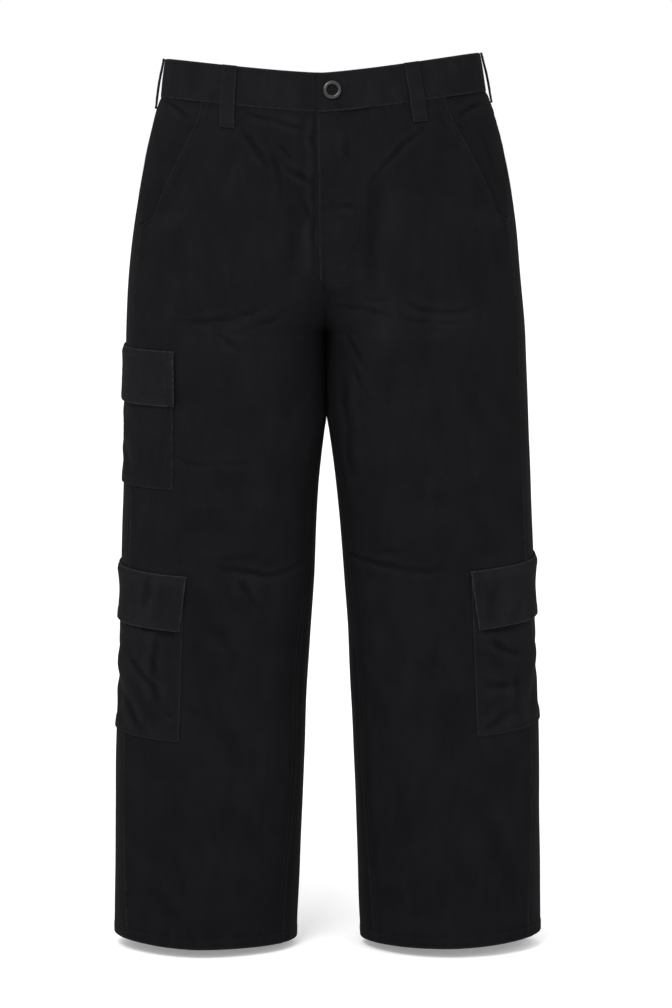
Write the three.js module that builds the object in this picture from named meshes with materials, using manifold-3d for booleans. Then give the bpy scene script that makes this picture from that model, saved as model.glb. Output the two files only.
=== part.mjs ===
import * as THREE from 'three';
import { mergeVertices } from 'three/addons/utils/BufferGeometryUtils.js';
import Module from 'manifold-3d';

// Cargo trousers, filled out, millimetres: origin at the middle of the waistband,
// front towards -Y, wearer's left towards +X, up is +Z.

// Cloth and clearances
const CLOTH = 1.3;
const BAND_WALL = 2.0;
const LOOP_WALL = 1.7;
const SEAM_GAP = 0.32;
const LAYER_GAP = 0.5;

// Waistband
const BAND_TOP = 22.5;
const BAND_BOTTOM = -18.0;
const LAP_REACH = 6.2;
const UNDERLAP_REACH = 30;
const BAND_LAP_RAISE = 2.7;
const FLY_LAP_RAISE = 1.85;
const FLY_WIDTH = 40;
const FLY_END = -217;

// Fall of the waist line at the centre of the front and back, and how it fades below
const DIP_FRONT = 20;
const DIP_BACK = 17;
const DIP_FADE_TOP = -20;
const DIP_FADE_END = -135;
const DIP_POWER = 1.3;
const LEAN_TOP = 3.3;
const LEAN_HEM = 1.0;

// Small lean of the whole to one side, by height
const SWAY = [
  { z: 24, x: -3.1 },
  { z: -18, x: -2.2 },
  { z: -60, x: -1.1 },
  { z: -171, x: -0.5 },
  { z: -260, x: 0 },
  { z: -384, x: 1.4 },
  { z: -500, x: 2.4 },
  { z: -950, x: 2.4 },
];

// The wearer's right leg is a little fuller, more at its inner side than at its outer one
const RIGHT_LEG_INNER_EASE = 0.023;
const RIGHT_LEG_OUTER_EASE = 0.009;
const LEFT_LEG_SHIFT = -0.2;
const HEM_LIFT = 4.0;
const HEM_DROP = 2.3;
const HEM_SHAPE_TOP = -800;

const CROTCH = -275;
const RISE_CURVE_TOP = -110;
const RISE_CURVE_POWER = 1.6;
const LEAST_SPLIT = 0.02;
const HEM = -948.5;

// Outline of the body and legs: height, outer half-breadth, half gap between the legs,
// line of the crease of a leg, depth in front, depth behind, shift backwards
const SECTIONS = [
  { z: 24, out: 169.6, gap: 0, mid: 0, front: 99, back: 99, shift: 0 },
  { z: 4, out: 172.4, gap: 0, mid: 0, front: 101, back: 102, shift: 0 },
  { z: -18, out: 175.8, gap: 0, mid: 0, front: 103.5, back: 105.5, shift: 0 },
  { z: -30, out: 180.4, gap: 0, mid: 1, front: 106.5, back: 109.5, shift: 0 },
  { z: -46, out: 185.0, gap: 0, mid: 5, front: 109, back: 114, shift: 0.5 },
  { z: -73, out: 191.9, gap: 0, mid: 14, front: 111.5, back: 120, shift: 1 },
  { z: -106, out: 199.0, gap: 0, mid: 28, front: 114.5, back: 127.5, shift: 2 },
  { z: -138, out: 204.6, gap: 0, mid: 44, front: 116.5, back: 133, shift: 3 },
  { z: -171, out: 209.4, gap: 0, mid: 61, front: 117, back: 136, shift: 4 },
  { z: -210, out: 213.4, gap: 0, mid: 81, front: 116, back: 135.5, shift: 5 },
  { z: -245, out: 216.2, gap: 0, mid: 96, front: 113, back: 130.5, shift: 6 },
  { z: -275, out: 218.2, gap: 0, mid: 104.5, front: 108.5, back: 123.5, shift: 7 },
  { z: -305, out: 219.3, gap: 0, mid: 108, front: 104, back: 114.5, shift: 7 },
  { z: -340, out: 220.6, gap: 0, mid: 109.2, front: 100, back: 106, shift: 7 },
  { z: -368, out: 221.6, gap: 0.1, mid: 110.0, front: 97, back: 100.5, shift: 7 },
  { z: -384, out: 222.1, gap: 2.2, mid: 110.8, front: 95.5, back: 98, shift: 7 },
  { z: -417, out: 223.2, gap: 6.6, mid: 113.6, front: 92.5, back: 93.5, shift: 6.5 },
  { z: -450, out: 224.3, gap: 10.4, mid: 116.1, front: 90, back: 90, shift: 6 },
  { z: -484, out: 225.5, gap: 13.6, mid: 118.6, front: 87.5, back: 87.5, shift: 5.5 },
  { z: -550, out: 227.6, gap: 17.8, mid: 121.5, front: 83.5, back: 85, shift: 5 },
  { z: -617, out: 230.2, gap: 22.4, mid: 125.2, front: 79.5, back: 84, shift: 5 },
  { z: -684, out: 232.3, gap: 26.0, mid: 128.1, front: 77, back: 84, shift: 5 },
  { z: -752, out: 234.6, gap: 28.6, mid: 131.1, front: 75.5, back: 83.5, shift: 5 },
  { z: -819, out: 236.0, gap: 31.2, mid: 133.4, front: 74.5, back: 82, shift: 5 },
  { z: -887, out: 236.9, gap: 34.2, mid: 135.5, front: 73.5, back: 80, shift: 5 },
  { z: -950, out: 237.4, gap: 36.8, mid: 137.0, front: 73, back: 79, shift: 5 },
];

// Roundness of the section, squarer above and pointed at the sides of the hem
const ROUND_FRONT = 2.3;
const ROUND_BACK = 2.4;
const ROUND_HEM = 1.8;
const ROUND_FADE = -730;

// Way round from the outermost line forward to the side seam
const SIDE_SEAM = [
  { z: 24, reach: 2 },
  { z: -18, reach: 2 },
  { z: -60, reach: 14 },
  { z: -110, reach: 34 },
  { z: -165, reach: 55 },
  { z: -230, reach: 58 },
  { z: -400, reach: 55 },
  { z: -550, reach: 49 },
  { z: -700, reach: 44 },
  { z: -950, reach: 41 },
];

// Way round from the innermost line forward to the inseam
const INSEAM = [
  { z: -275, reach: 0 },
  { z: -285, reach: 9 },
  { z: -305, reach: 20 },
  { z: -340, reach: 33 },
  { z: -384, reach: 39 },
  { z: -450, reach: 41 },
  { z: -950, reach: 40 },
];

// Mouth of the slanted pocket, by its distance from the centre line
const MOUTH = [
  { z: -10, x: 128 },
  { z: -28, x: 131.5 },
  { z: -41, x: 136 },
  { z: -54, x: 141.5 },
  { z: -73, x: 150.5 },
  { z: -105, x: 165.5 },
  { z: -129, x: 176 },
  { z: -160, x: 188 },
];
const MOUTH_END = -158;
const FACING_UNDERLAP = 16;
const FACING_END = -180;
const FACING_TUCK = 0.5;

// Levels at which the panels are worked out
const PANEL_LEVELS = [
  -18.4, -25, -34, -46, -62, -82, -102, -122, -142, -158, -162, -180, -198, -213, -220, -230,
  -241, -251, -260, -267, -272, -275, -279, -290, -308, -332, -362, -400, -420, -438, -466, -500,
  -515, -527, -539, -560, -600, -650, -680, -709, -736, -770, -820, -875, -920, -948.5,
];
const FRONT_COLUMNS = 16;
const BACK_COLUMNS = 17;

// Largest folds: side of the body, face, line from a to b, depth outwards, half width
const FOLDS = [
  { side: -1, face: 'front', ax: 52, az: -250, bx: 96, bz: -271, depth: -4.5, width: 11 },
  { side: -1, face: 'front', ax: 70, az: -240, bx: 150, bz: -256, depth: -3, width: 11 },
  { side: -1, face: 'front', ax: 85, az: -290, bx: 112, bz: -278, depth: -4, width: 12 },
  { side: -1, face: 'front', ax: 82, az: -411, bx: 122, bz: -409, depth: -3.5, width: 14 },
  { side: -1, face: 'front', ax: 34, az: -526, bx: 110, bz: -527, depth: -5, width: 11 },
  { side: -1, face: 'front', ax: 60, az: -490, bx: 130, bz: -486, depth: 3.5, width: 22 },
  { side: 1, face: 'front', ax: 22, az: -519, bx: 120, bz: -527, depth: -5.5, width: 11 },
  { side: 1, face: 'front', ax: 45, az: -488, bx: 120, bz: -484, depth: 3.5, width: 22 },
  { side: 1, face: 'front', ax: 22, az: -326, bx: 27, bz: -425, depth: -4, width: 10 },
  { side: 1, face: 'front', ax: 26, az: -247, bx: 70, bz: -258, depth: -4, width: 10 },
  { side: 1, face: 'front', ax: 92, az: -240, bx: 154, bz: -247, depth: -4, width: 10 },
  { side: 1, face: 'front', ax: 24, az: -270, bx: 42, bz: -300, depth: -4, width: 10 },
  { side: -1, face: 'back', ax: 60, az: -268, bx: 150, bz: -300, depth: -5, width: 16 },
  { side: 1, face: 'back', ax: 50, az: -262, bx: 155, bz: -290, depth: -5, width: 16 },
  { side: -1, face: 'back', ax: 55, az: -512, bx: 165, bz: -530, depth: -5, width: 14 },
  { side: 1, face: 'back', ax: 60, az: -520, bx: 175, bz: -508, depth: -5, width: 14 },
  { side: -1, face: 'back', ax: 75, az: -560, bx: 150, bz: -575, depth: -3.5, width: 16 },
  { side: 1, face: 'back', ax: 70, az: -566, bx: 160, bz: -556, depth: -3.5, width: 16 },
];
const FOLD_CLEAR_OF_CENTRE = 9;

// Cargo pockets: side, way from the side seam to the front and back edges of the bag and
// of the flap, how far the flap draws in at its foot, flap top and foot, bag top and foot,
// flare of the bag's foot, slope round the leg, fullness, and how far it presses the leg in
const POCKETS = [
  { name: 'pocket_upper_right', side: -1, front: 65, back: -70, flapFront: 69, flapDraw: 2.8,
    flapTop: -288, flapFoot: -348, bagTop: -297, bagFoot: -438, flare: -2, slope: 4,
    fullness: 1.3, press: 2.6 },
  { name: 'pocket_lower_right', side: -1, front: 74.5, back: -80, flapFront: 78, flapDraw: 6,
    flapTop: -529.5, flapFoot: -590.5, bagTop: -539, bagFoot: -712, flare: 0, slope: 10,
    fullness: 1.7, press: 4.2 },
  { name: 'pocket_lower_left', side: 1, front: 74, back: -80, flapFront: 75, flapDraw: 7,
    flapTop: -525.5, flapFoot: -590, bagTop: -535, bagFoot: -707, flare: -0.6, slope: 12,
    fullness: 1.6, press: 4.0 },
];
const PRESS_BEYOND = 3;
const PRESS_WITHIN = 33;
const POCKET_GAP = 0.85;
const BAG_COLUMNS = 15;
const BAG_ROWS = 9;
const FLAP_COLUMNS = 15;
const FLAP_ROWS = [0, 0.1, 0.34, 0.67, 1];
const FLAP_CLEAR = 0.6;
const FLAP_STAND = 1.3;

// Belt loops: side, centre by distance from the middle or way round, lean of the foot,
// stand off the band at its fullest, foot level
const LOOP_WIDTH = 16.2;
const LOOPS = [
  { name: 'loop_front_right', side: -1, at: 97.4, lean: 4.8, stand: 1.6, foot: -44, back: false },
  { name: 'loop_front_left', side: 1, at: 93.7, lean: 8.5, stand: 1.6, foot: -41, back: false },
  { name: 'loop_side_right', side: -1, at: 'side', lean: 0, stand: 2.6, foot: -31, back: false },
  { name: 'loop_side_left', side: 1, at: 'side', lean: 0, stand: 2.6, foot: -31, back: false },
  { name: 'loop_back', side: 1, at: 0, lean: 0, stand: 1.6, foot: -36, back: true },
];

// Button
const BUTTON_RADIUS = 10.7;
const BUTTON_HEIGHT = 3.8;
const BUTTON_RIM = 2.2;
const BUTTON_DISH = 1.5;
const BUTTON_HOLE = 1.05;
const BUTTON_HOLE_REACH = 2.1;
const BUTTON_STAND = 0.85;
const BUTTON_TILT = 0.105;
const BUTTON_SIDES = 36;
const HOLE_SIDES = 10;
const BUTTON_X = 10;
const BUTTON_LEVEL = 3.5;

const TWILL = { color: 0x1c1d20, roughness: 0.9, metalness: 0 };
const PLASTIC = { color: 0x101113, roughness: 0.38, metalness: 0 };

function smooth(edge0, edge1, value) {
  const t = Math.min(1, Math.max(0, (value - edge0) / (edge1 - edge0)));
  return t * t * (3 - 2 * t);
}

// Smooth run through the rows of a table ordered from high to low
function readTable(table, key, z) {
  const last = table.length - 1;
  if (z >= table[0].z) return table[0][key];
  if (z <= table[last].z) return table[last][key];
  let i = 0;
  while (table[i + 1].z > z) i += 1;
  const a = table[i];
  const b = table[i + 1];
  const before = table[Math.max(0, i - 1)];
  const after = table[Math.min(last, i + 2)];
  const step = b.z - a.z;
  const slopeA = i === 0 ? (b[key] - a[key]) / step : (b[key] - before[key]) / (b.z - before.z);
  const slopeB = i + 1 === last ? (b[key] - a[key]) / step : (after[key] - a[key]) / (after.z - a.z);
  const t = (z - a.z) / step;
  const t2 = t * t;
  const t3 = t2 * t;
  return (2 * t3 - 3 * t2 + 1) * a[key] + (t3 - 2 * t2 + t) * step * slopeA
    + (3 * t2 - 2 * t3) * b[key] + (t3 - t2) * step * slopeB;
}

// Half ring of one side at a level: points from the outermost line to the middle,
// once round the front and once round the back, with the way along them
const ringStore = new Map();
const RING_STEPS = 160;

function ringAt(level) {
  const key = Math.round(level * 1000);
  if (ringStore.has(key)) return ringStore.get(key);
  const out = readTable(SECTIONS, 'out', level);
  const front = readTable(SECTIONS, 'front', level);
  const back = readTable(SECTIONS, 'back', level);
  const shift = readTable(SECTIONS, 'shift', level);
  const inner = SEAM_GAP / 2 + Math.max(0, readTable(SECTIONS, 'gap', level));
  const mid = Math.max(inner, readTable(SECTIONS, 'mid', level));
  const drop = Math.min(1, Math.max(0, (RISE_CURVE_TOP - level) / (RISE_CURVE_TOP - CROTCH)));
  const rise = Math.sqrt(Math.max(0, 1 - Math.pow(drop, 2 * RISE_CURVE_POWER)));
  const closed = level <= CROTCH;
  const atHem = smooth(ROUND_FADE, HEM, level);
  const make = (depth, above) => {
    const power = above + (ROUND_HEM - above) * atHem;
    const split = closed ? 1 : Math.pow(Math.max(0, 1 - Math.pow(rise, power)), 1 / power);
    const outerHalf = out - mid;
    const innerHalf = (mid - inner) / Math.max(LEAST_SPLIT, split);
    const endCos = innerHalf > 0 ? (mid - inner) / innerHalf : 0;
    const endAngle = closed ? Math.PI : Math.acos(-Math.pow(endCos, power / 2));
    const points = [];
    let way = 0;
    for (let i = 0; i <= RING_STEPS; i += 1) {
      const angle = endAngle * i / RING_STEPS;
      const c = Math.cos(angle);
      const s = Math.sin(angle);
      const half = c > 0 ? outerHalf : innerHalf;
      const x = mid + half * Math.sign(c) * Math.pow(Math.abs(c), 2 / power);
      const y = depth * Math.pow(Math.abs(s), 2 / power);
      if (i > 0) way += Math.hypot(x - points[i - 1].x, y - points[i - 1].y);
      points.push({ x, y, way });
    }
    return points;
  };
  const ring = {
    front: make(front + shift, ROUND_FRONT).map((p) => ({ x: p.x, y: shift - p.y, way: p.way })),
    back: make(back - shift, ROUND_BACK).map((p) => ({ x: p.x, y: shift + p.y, way: p.way })),
    inner,
    mid,
    out,
    closed,
  };
  ring.frontWay = ring.front[RING_STEPS].way;
  ring.backWay = ring.back[RING_STEPS].way;
  ringStore.set(key, ring);
  return ring;
}

function along(points, way) {
  let low = 0;
  let high = points.length - 1;
  while (high - low > 1) {
    const half = (low + high) >> 1;
    if (points[half].way > way) high = half;
    else low = half;
  }
  const a = points[low];
  const b = points[high];
  const t = (way - a.way) / Math.max(1e-9, b.way - a.way);
  return { x: a.x + (b.x - a.x) * t, y: a.y + (b.y - a.y) * t };
}

// Point of the ring at a way round: forward is positive, past the middle it goes on
function onRing(ring, way) {
  if (way >= 0) {
    if (way <= ring.frontWay) return along(ring.front, way);
    if (ring.closed) return along(ring.back, ring.backWay - (way - ring.frontWay));
    const p = along(ring.front, 2 * ring.frontWay - way);
    return { x: 2 * ring.inner - p.x, y: p.y };
  }
  if (-way <= ring.backWay) return along(ring.back, -way);
  if (ring.closed) return along(ring.front, ring.frontWay - (-way - ring.backWay));
  const p = along(ring.back, 2 * ring.backWay + way);
  return { x: 2 * ring.inner - p.x, y: p.y };
}

function foldDepth(side, x, y, z, nx, ny) {
  let depth = 0;
  for (const fold of FOLDS) {
    if (fold.side !== side) continue;
    const facing = fold.face === 'front' ? -ny : ny;
    if (facing <= 0) continue;
    const dx = fold.bx - fold.ax;
    const dz = fold.bz - fold.az;
    const length = Math.hypot(dx, dz);
    const t = ((x - fold.ax) * dx + (z - fold.az) * dz) / (length * length);
    const across = Math.abs((x - fold.ax) * dz - (z - fold.az) * dx) / length;
    const beyond = Math.max(0, t < 0 ? -t * length : (t - 1) * length);
    const fade = Math.exp(-Math.pow(beyond / fold.width, 2));
    depth += fold.depth * Math.exp(-Math.pow(across / fold.width, 2)) * fade * smooth(0.2, 0.7, facing);
  }
  return depth * smooth(FOLD_CLEAR_OF_CENTRE, FOLD_CLEAR_OF_CENTRE + 12, x);
}

// Depth that the cargo pockets press the leg inwards
function pocketPress(side, level, way) {
  let press = 0;
  for (const pocket of POCKETS) {
    if (pocket.side !== side) continue;
    const fromSeam = way - readTable(SIDE_SEAM, 'reach', level);
    const down = smooth(pocket.flapTop + PRESS_BEYOND, pocket.flapTop - PRESS_WITHIN, level)
      * smooth(pocket.bagFoot - PRESS_BEYOND, pocket.bagFoot + PRESS_WITHIN, level);
    const across = smooth(pocket.front + PRESS_BEYOND, pocket.front - PRESS_WITHIN, fromSeam)
      * smooth(pocket.back - PRESS_BEYOND, pocket.back + PRESS_WITHIN, fromSeam);
    press += pocket.press * down * across;
  }
  return press;
}

// Point on the garment: side, level, way round, distance outwards
function surface(side, level, way, outwards) {
  const ring = ringAt(level);
  const p = onRing(ring, way);
  const a = onRing(ring, way - 1.2);
  const b = onRing(ring, way + 1.2);
  const length = Math.hypot(b.x - a.x, b.y - a.y);
  const nx = -(b.y - a.y) / length;
  const ny = (b.x - a.x) / length;
  const fullness = foldDepth(side, p.x, p.y, level, nx, ny) - pocketPress(side, level, way);
  const reach = Math.min(1, Math.abs(p.x) / ring.out);
  const dip = (p.y < 0 ? DIP_FRONT : DIP_BACK) * (1 - Math.pow(reach, DIP_POWER));
  const dipShare = smooth(DIP_FADE_END, DIP_FADE_TOP, level);
  const lean = LEAN_HEM + (LEAN_TOP - LEAN_HEM) * smooth(HEM, 0, level);
  const legShare = smooth(-430, -550, level);
  const outness = Math.max(0, (p.x - ring.mid) / (ring.out - ring.mid));
  const inness = Math.max(0, (ring.mid - p.x) / Math.max(1, ring.mid - ring.inner));
  const hemShape = HEM_LIFT * Math.pow(outness, 1.5) - HEM_DROP * Math.pow(inness, 1.5);
  const across = p.x - ring.mid;
  const ease = across > 0 ? RIGHT_LEG_OUTER_EASE : RIGHT_LEG_INNER_EASE;
  const spread = legShare * (side < 0 ? ease * across : LEFT_LEG_SHIFT);
  const lift = hemShape * smooth(HEM_SHAPE_TOP, HEM, level);
  const x = p.x + spread + nx * (outwards + fullness);
  const y = p.y + ny * (outwards + fullness);
  const z = level - dip * dipShare + side * lean * p.x / ring.out + lift;
  return [side * x + readTable(SWAY, 'x', level), y, z];
}

function wayAtX(level, x) {
  const ring = ringAt(level);
  const points = ring.front;
  for (let i = 1; i < points.length; i += 1) {
    if (points[i].x <= x) {
      const t = (points[i - 1].x - x) / Math.max(1e-9, points[i - 1].x - points[i].x);
      return points[i - 1].way + (points[i].way - points[i - 1].way) * t;
    }
  }
  return ring.frontWay;
}

const sideSeam = (level) => readTable(SIDE_SEAM, 'reach', level);

function mouthWay(level) {
  return Math.max(sideSeam(level), wayAtX(level, readTable(MOUTH, 'x', level)));
}

// Solid between an outer and an inner grid of points
function slab(outer, inner) {
  const rows = outer.length;
  const columns = outer[0].length;
  const positions = [];
  const put = (p) => positions.push(p[0], p[1], p[2]);
  const apart = (p, q) => Math.hypot(p[0] - q[0], p[1] - q[1], p[2] - q[2]);
  const quad = (a, b, c, d) => {
    if (apart(a, c) <= apart(b, d)) [a, b, c, a, c, d].forEach(put);
    else [a, b, d, b, c, d].forEach(put);
  };
  for (let i = 0; i + 1 < rows; i += 1) {
    for (let j = 0; j + 1 < columns; j += 1) {
      quad(outer[i][j], outer[i + 1][j], outer[i + 1][j + 1], outer[i][j + 1]);
      quad(inner[i][j], inner[i][j + 1], inner[i + 1][j + 1], inner[i + 1][j]);
    }
    quad(inner[i][0], inner[i + 1][0], outer[i + 1][0], outer[i][0]);
    const e = columns - 1;
    quad(outer[i][e], outer[i + 1][e], inner[i + 1][e], inner[i][e]);
  }
  for (let j = 0; j + 1 < columns; j += 1) {
    quad(outer[0][j], outer[0][j + 1], inner[0][j + 1], inner[0][j]);
    const e = rows - 1;
    quad(inner[e][j], inner[e][j + 1], outer[e][j + 1], outer[e][j]);
  }
  return positions;
}

function volumeOf(positions) {
  let volume = 0;
  for (let i = 0; i < positions.length; i += 9) {
    const [ax, ay, az, bx, by, bz, cx, cy, cz] = positions.slice(i, i + 9);
    volume += ax * (by * cz - bz * cy) + ay * (bz * cx - bx * cz) + az * (bx * cy - by * cx);
  }
  return volume / 6;
}

function meshFrom(name, positions, look) {
  const list = positions.slice();
  if (volumeOf(list) < 0) {
    for (let i = 0; i < list.length; i += 9) {
      for (let k = 0; k < 3; k += 1) {
        const held = list[i + 3 + k];
        list[i + 3 + k] = list[i + 6 + k];
        list[i + 6 + k] = held;
      }
    }
  }
  const geometry = new THREE.BufferGeometry();
  geometry.setAttribute('position', new THREE.Float32BufferAttribute(list, 3));
  geometry.computeVertexNormals();
  const mesh = new THREE.Mesh(geometry, new THREE.MeshStandardMaterial(look));
  mesh.name = name;
  return mesh;
}

// Raise of the front panel: over the fly on the wearer's left, and along the pocket mouth
function frontRaise(side, level, way) {
  const ring = ringAt(level);
  let raise = 0;
  if (side > 0 && !ring.closed) {
    const inFly = smooth(FLY_END - 16, FLY_END - 2, level);
    raise += FLY_LAP_RAISE * inFly * smooth(ring.frontWay - FLY_WIDTH, ring.frontWay - 5, way);
  }
  if (level > MOUTH_END) {
    const open = smooth(BAND_BOTTOM, BAND_BOTTOM - 40, level) * smooth(MOUTH_END, MOUTH_END + 40, level);
    raise += 1.4 * open * Math.exp(-Math.pow((way - mouthWay(level)) / 14, 2));
  }
  return raise;
}

function flyEdge(side, level) {
  const ring = ringAt(level);
  if (side < 0 || ring.closed) return ring.frontWay;
  return ring.frontWay + LAP_REACH * smooth(FLY_END - 3, FLY_END, level);
}

function frontPanel(side, name) {
  const outer = [];
  const inner = [];
  for (const level of PANEL_LEVELS) {
    const first = level > MOUTH_END - 1 ? mouthWay(level) : sideSeam(level) + SEAM_GAP / 2;
    const last = level > CROTCH ? flyEdge(side, level)
      : ringAt(level).frontWay - readTable(INSEAM, 'reach', level) - SEAM_GAP / 2;
    const outerRow = [];
    const innerRow = [];
    for (let j = 0; j < FRONT_COLUMNS; j += 1) {
      const way = first + (last - first) * j / (FRONT_COLUMNS - 1);
      const raise = frontRaise(side, level, way);
      outerRow.push(surface(side, level, way, raise));
      innerRow.push(surface(side, level, way, raise - CLOTH));
    }
    outer.push(outerRow);
    inner.push(innerRow);
  }
  return meshFrom(name, slab(outer, inner), TWILL);
}

function backPanel(side, name) {
  const outer = [];
  const inner = [];
  for (const level of PANEL_LEVELS) {
    const ring = ringAt(level);
    const first = sideSeam(level) - SEAM_GAP / 2;
    const last = level > CROTCH ? -ring.backWay
      : -ring.backWay - readTable(INSEAM, 'reach', level) + SEAM_GAP / 2;
    const outerRow = [];
    const innerRow = [];
    for (let j = 0; j < BACK_COLUMNS; j += 1) {
      const way = first + (last - first) * j / (BACK_COLUMNS - 1);
      outerRow.push(surface(side, level, way, 0));
      innerRow.push(surface(side, level, way, -CLOTH));
    }
    outer.push(outerRow);
    inner.push(innerRow);
  }
  return meshFrom(name, slab(outer, inner), TWILL);
}

// Piece that shows behind the pocket mouth, flush at the side seam, under the front panel
function hipFacing(side, name) {
  const levels = PANEL_LEVELS.filter((level) => level >= FACING_END);
  const columns = 8;
  const outer = [];
  const inner = [];
  for (const level of levels) {
    const below = level <= MOUTH_END;
    const seam = sideSeam(level) + (level < MOUTH_END ? 2 : SEAM_GAP / 2);
    const mouth = below ? seam : mouthWay(level);
    const last = mouth + FACING_UNDERLAP;
    const outerRow = [];
    const innerRow = [];
    for (let j = 0; j < columns; j += 1) {
      const way = seam + (last - seam) * j / (columns - 1);
      const sunk = below ? 1 : smooth(seam, Math.max(seam + 4, mouth - 3), way);
      const sink = (CLOTH + LAYER_GAP + (below ? FACING_TUCK : 0)) * sunk;
      outerRow.push(surface(side, level, way, -sink));
      innerRow.push(surface(side, level, way, -sink - CLOTH));
    }
    outer.push(outerRow);
    inner.push(innerRow);
  }
  return meshFrom(name, slab(outer, inner), TWILL);
}

// Waistband: one strip from the lap over the front, round the back, to the underlap
function bandPath() {
  const stations = [];
  const ring = ringAt(BAND_BOTTOM);
  const steps = 21;
  const addRun = (side, from, to, count, skipFirst) => {
    for (let i = skipFirst ? 1 : 0; i <= count; i += 1) {
      stations.push({ side, share: from + (to - from) * i / count });
    }
  };
  addRun(1, 1, 0, steps, false);
  addRun(1, 0, -1, steps, true);
  addRun(-1, -1, 0, steps, true);
  addRun(-1, 0, 1, steps, true);
  stations.unshift({ side: 1, share: 1 + LAP_REACH / ring.frontWay });
  stations.push({ side: -1, share: 1 + UNDERLAP_REACH / 2 / ring.frontWay });
  stations.push({ side: -1, share: 1 + UNDERLAP_REACH / ring.frontWay });
  return stations;
}

function bandPoint(side, share, level, outwards) {
  const ring = ringAt(level);
  const way = share >= 0 ? share * ring.frontWay : share * ring.backWay;
  return surface(side, level, way, outwards);
}

function bandRaise(side, share) {
  if (side < 0 || share < 0) return 0;
  const ring = ringAt(BAND_BOTTOM);
  const fromMiddle = (1 - share) * ring.frontWay;
  return BAND_LAP_RAISE * (1 - smooth(UNDERLAP_REACH + 6, UNDERLAP_REACH + 40, fromMiddle));
}

function waistband() {
  const middle = (BAND_TOP + BAND_BOTTOM) / 2;
  const levels = [BAND_TOP, middle, BAND_BOTTOM];
  const outer = [];
  const inner = [];
  for (const level of levels) {
    const bow = level === middle ? 0.5 : 0;
    const outerRow = [];
    const innerRow = [];
    for (const station of bandPath()) {
      const raise = bandRaise(station.side, station.share) + bow;
      outerRow.push(bandPoint(station.side, station.share, level, raise));
      innerRow.push(bandPoint(station.side, station.share, level, raise - BAND_WALL));
    }
    outer.push(outerRow);
    inner.push(innerRow);
  }
  return meshFrom('waistband', slab(outer, inner), TWILL);
}

// Belt loop: a narrow strip from the top of the band to below it
function beltLoop(loop) {
  const steps = [0, 0.08, 0.22, 0.38, 0.54, 0.68, 0.8, 0.9, 1];
  const outer = [];
  const inner = [];
  const top = BAND_TOP + 0.4;
  for (const t of steps) {
    const level = top + (loop.foot - top) * t;
    const ring = ringAt(level);
    const x = loop.at === 'side' ? 0 : loop.at + loop.lean * t;
    let centre = sideSeam(level) - 1;
    if (loop.back) centre = -ring.backWay;
    else if (loop.at !== 'side') centre = wayAtX(level, x);
    const bulge = Math.sin(Math.PI * Math.pow(t, 1.5));
    const inBand = smooth(BAND_BOTTOM - 9, BAND_BOTTOM + 1, level);
    const off = LAYER_GAP + 0.5 * inBand + loop.stand * Math.pow(Math.max(0, bulge), 0.8);
    const outerRow = [];
    const innerRow = [];
    for (let j = 0; j < 3; j += 1) {
      const way = centre + LOOP_WIDTH * (j / 2 - 0.5);
      outerRow.push(surface(loop.side, level, way, off + LOOP_WALL));
      innerRow.push(surface(loop.side, level, way, off));
    }
    outer.push(outerRow);
    inner.push(innerRow);
  }
  return meshFrom(loop.name, slab(outer, inner), TWILL);
}

// Level and way on a pocket: u from the front edge to the back, v from top to foot
function onPocket(pocket, top, foot, u, v) {
  const level = top + (foot - top) * v + pocket.slope * (u - 0.5) * Math.min(1, 2 * v + 1);
  const flare = 2 * pocket.flare * v;
  const way = sideSeam(level) + pocket.front + flare + (pocket.back - pocket.front - flare) * u;
  return { level, way };
}

function bagFullness(pocket, u, v) {
  const acrossShape = Math.pow(Math.sin(Math.PI * u), 0.6);
  const downShape = Math.pow(Math.max(0, Math.sin(Math.PI * Math.pow(v, 1.25))), 0.7);
  return pocket.fullness * acrossShape * downShape;
}

function pocketBag(pocket) {
  const outer = [];
  const inner = [];
  for (let i = 0; i < BAG_ROWS; i += 1) {
    const v = i / (BAG_ROWS - 1);
    const outerRow = [];
    const innerRow = [];
    for (let j = 0; j < BAG_COLUMNS; j += 1) {
      const u = j / (BAG_COLUMNS - 1);
      const { level, way } = onPocket(pocket, pocket.bagTop, pocket.bagFoot, u, v);
      const off = POCKET_GAP + bagFullness(pocket, u, v);
      outerRow.push(surface(pocket.side, level, way, off + CLOTH));
      innerRow.push(surface(pocket.side, level, way, off));
    }
    outer.push(outerRow);
    inner.push(innerRow);
  }
  return meshFrom(`${pocket.name}_bag`, slab(outer, inner), TWILL);
}

function pocketFlap(pocket) {
  const wider = { ...pocket, front: pocket.flapFront, back: pocket.back - 2, flare: -pocket.flapDraw / 2 };
  const bagDepth = pocket.bagTop - pocket.bagFoot;
  const outer = [];
  const inner = [];
  for (const v of FLAP_ROWS) {
    const outerRow = [];
    const innerRow = [];
    for (let j = 0; j < FLAP_COLUMNS; j += 1) {
      const u = j / (FLAP_COLUMNS - 1);
      const { level, way } = onPocket(wider, pocket.flapTop, pocket.flapFoot, u, v);
      const bagV = Math.min(1, Math.max(0, (pocket.bagTop - level) / bagDepth));
      const overBag = v > 0 ? CLOTH + LAYER_GAP + FLAP_CLEAR : 0;
      const stand = FLAP_STAND * v * v * (0.4 + 0.6 * Math.sin(Math.PI * u));
      const off = POCKET_GAP + overBag + bagFullness(pocket, u, bagV) + stand;
      outerRow.push(surface(pocket.side, level, way, off + CLOTH));
      innerRow.push(surface(pocket.side, level, way, off));
    }
    outer.push(outerRow);
    inner.push(innerRow);
  }
  return meshFrom(`${pocket.name}_flap`, slab(outer, inner), TWILL);
}

const wasm = await Module();
wasm.setup();

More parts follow.
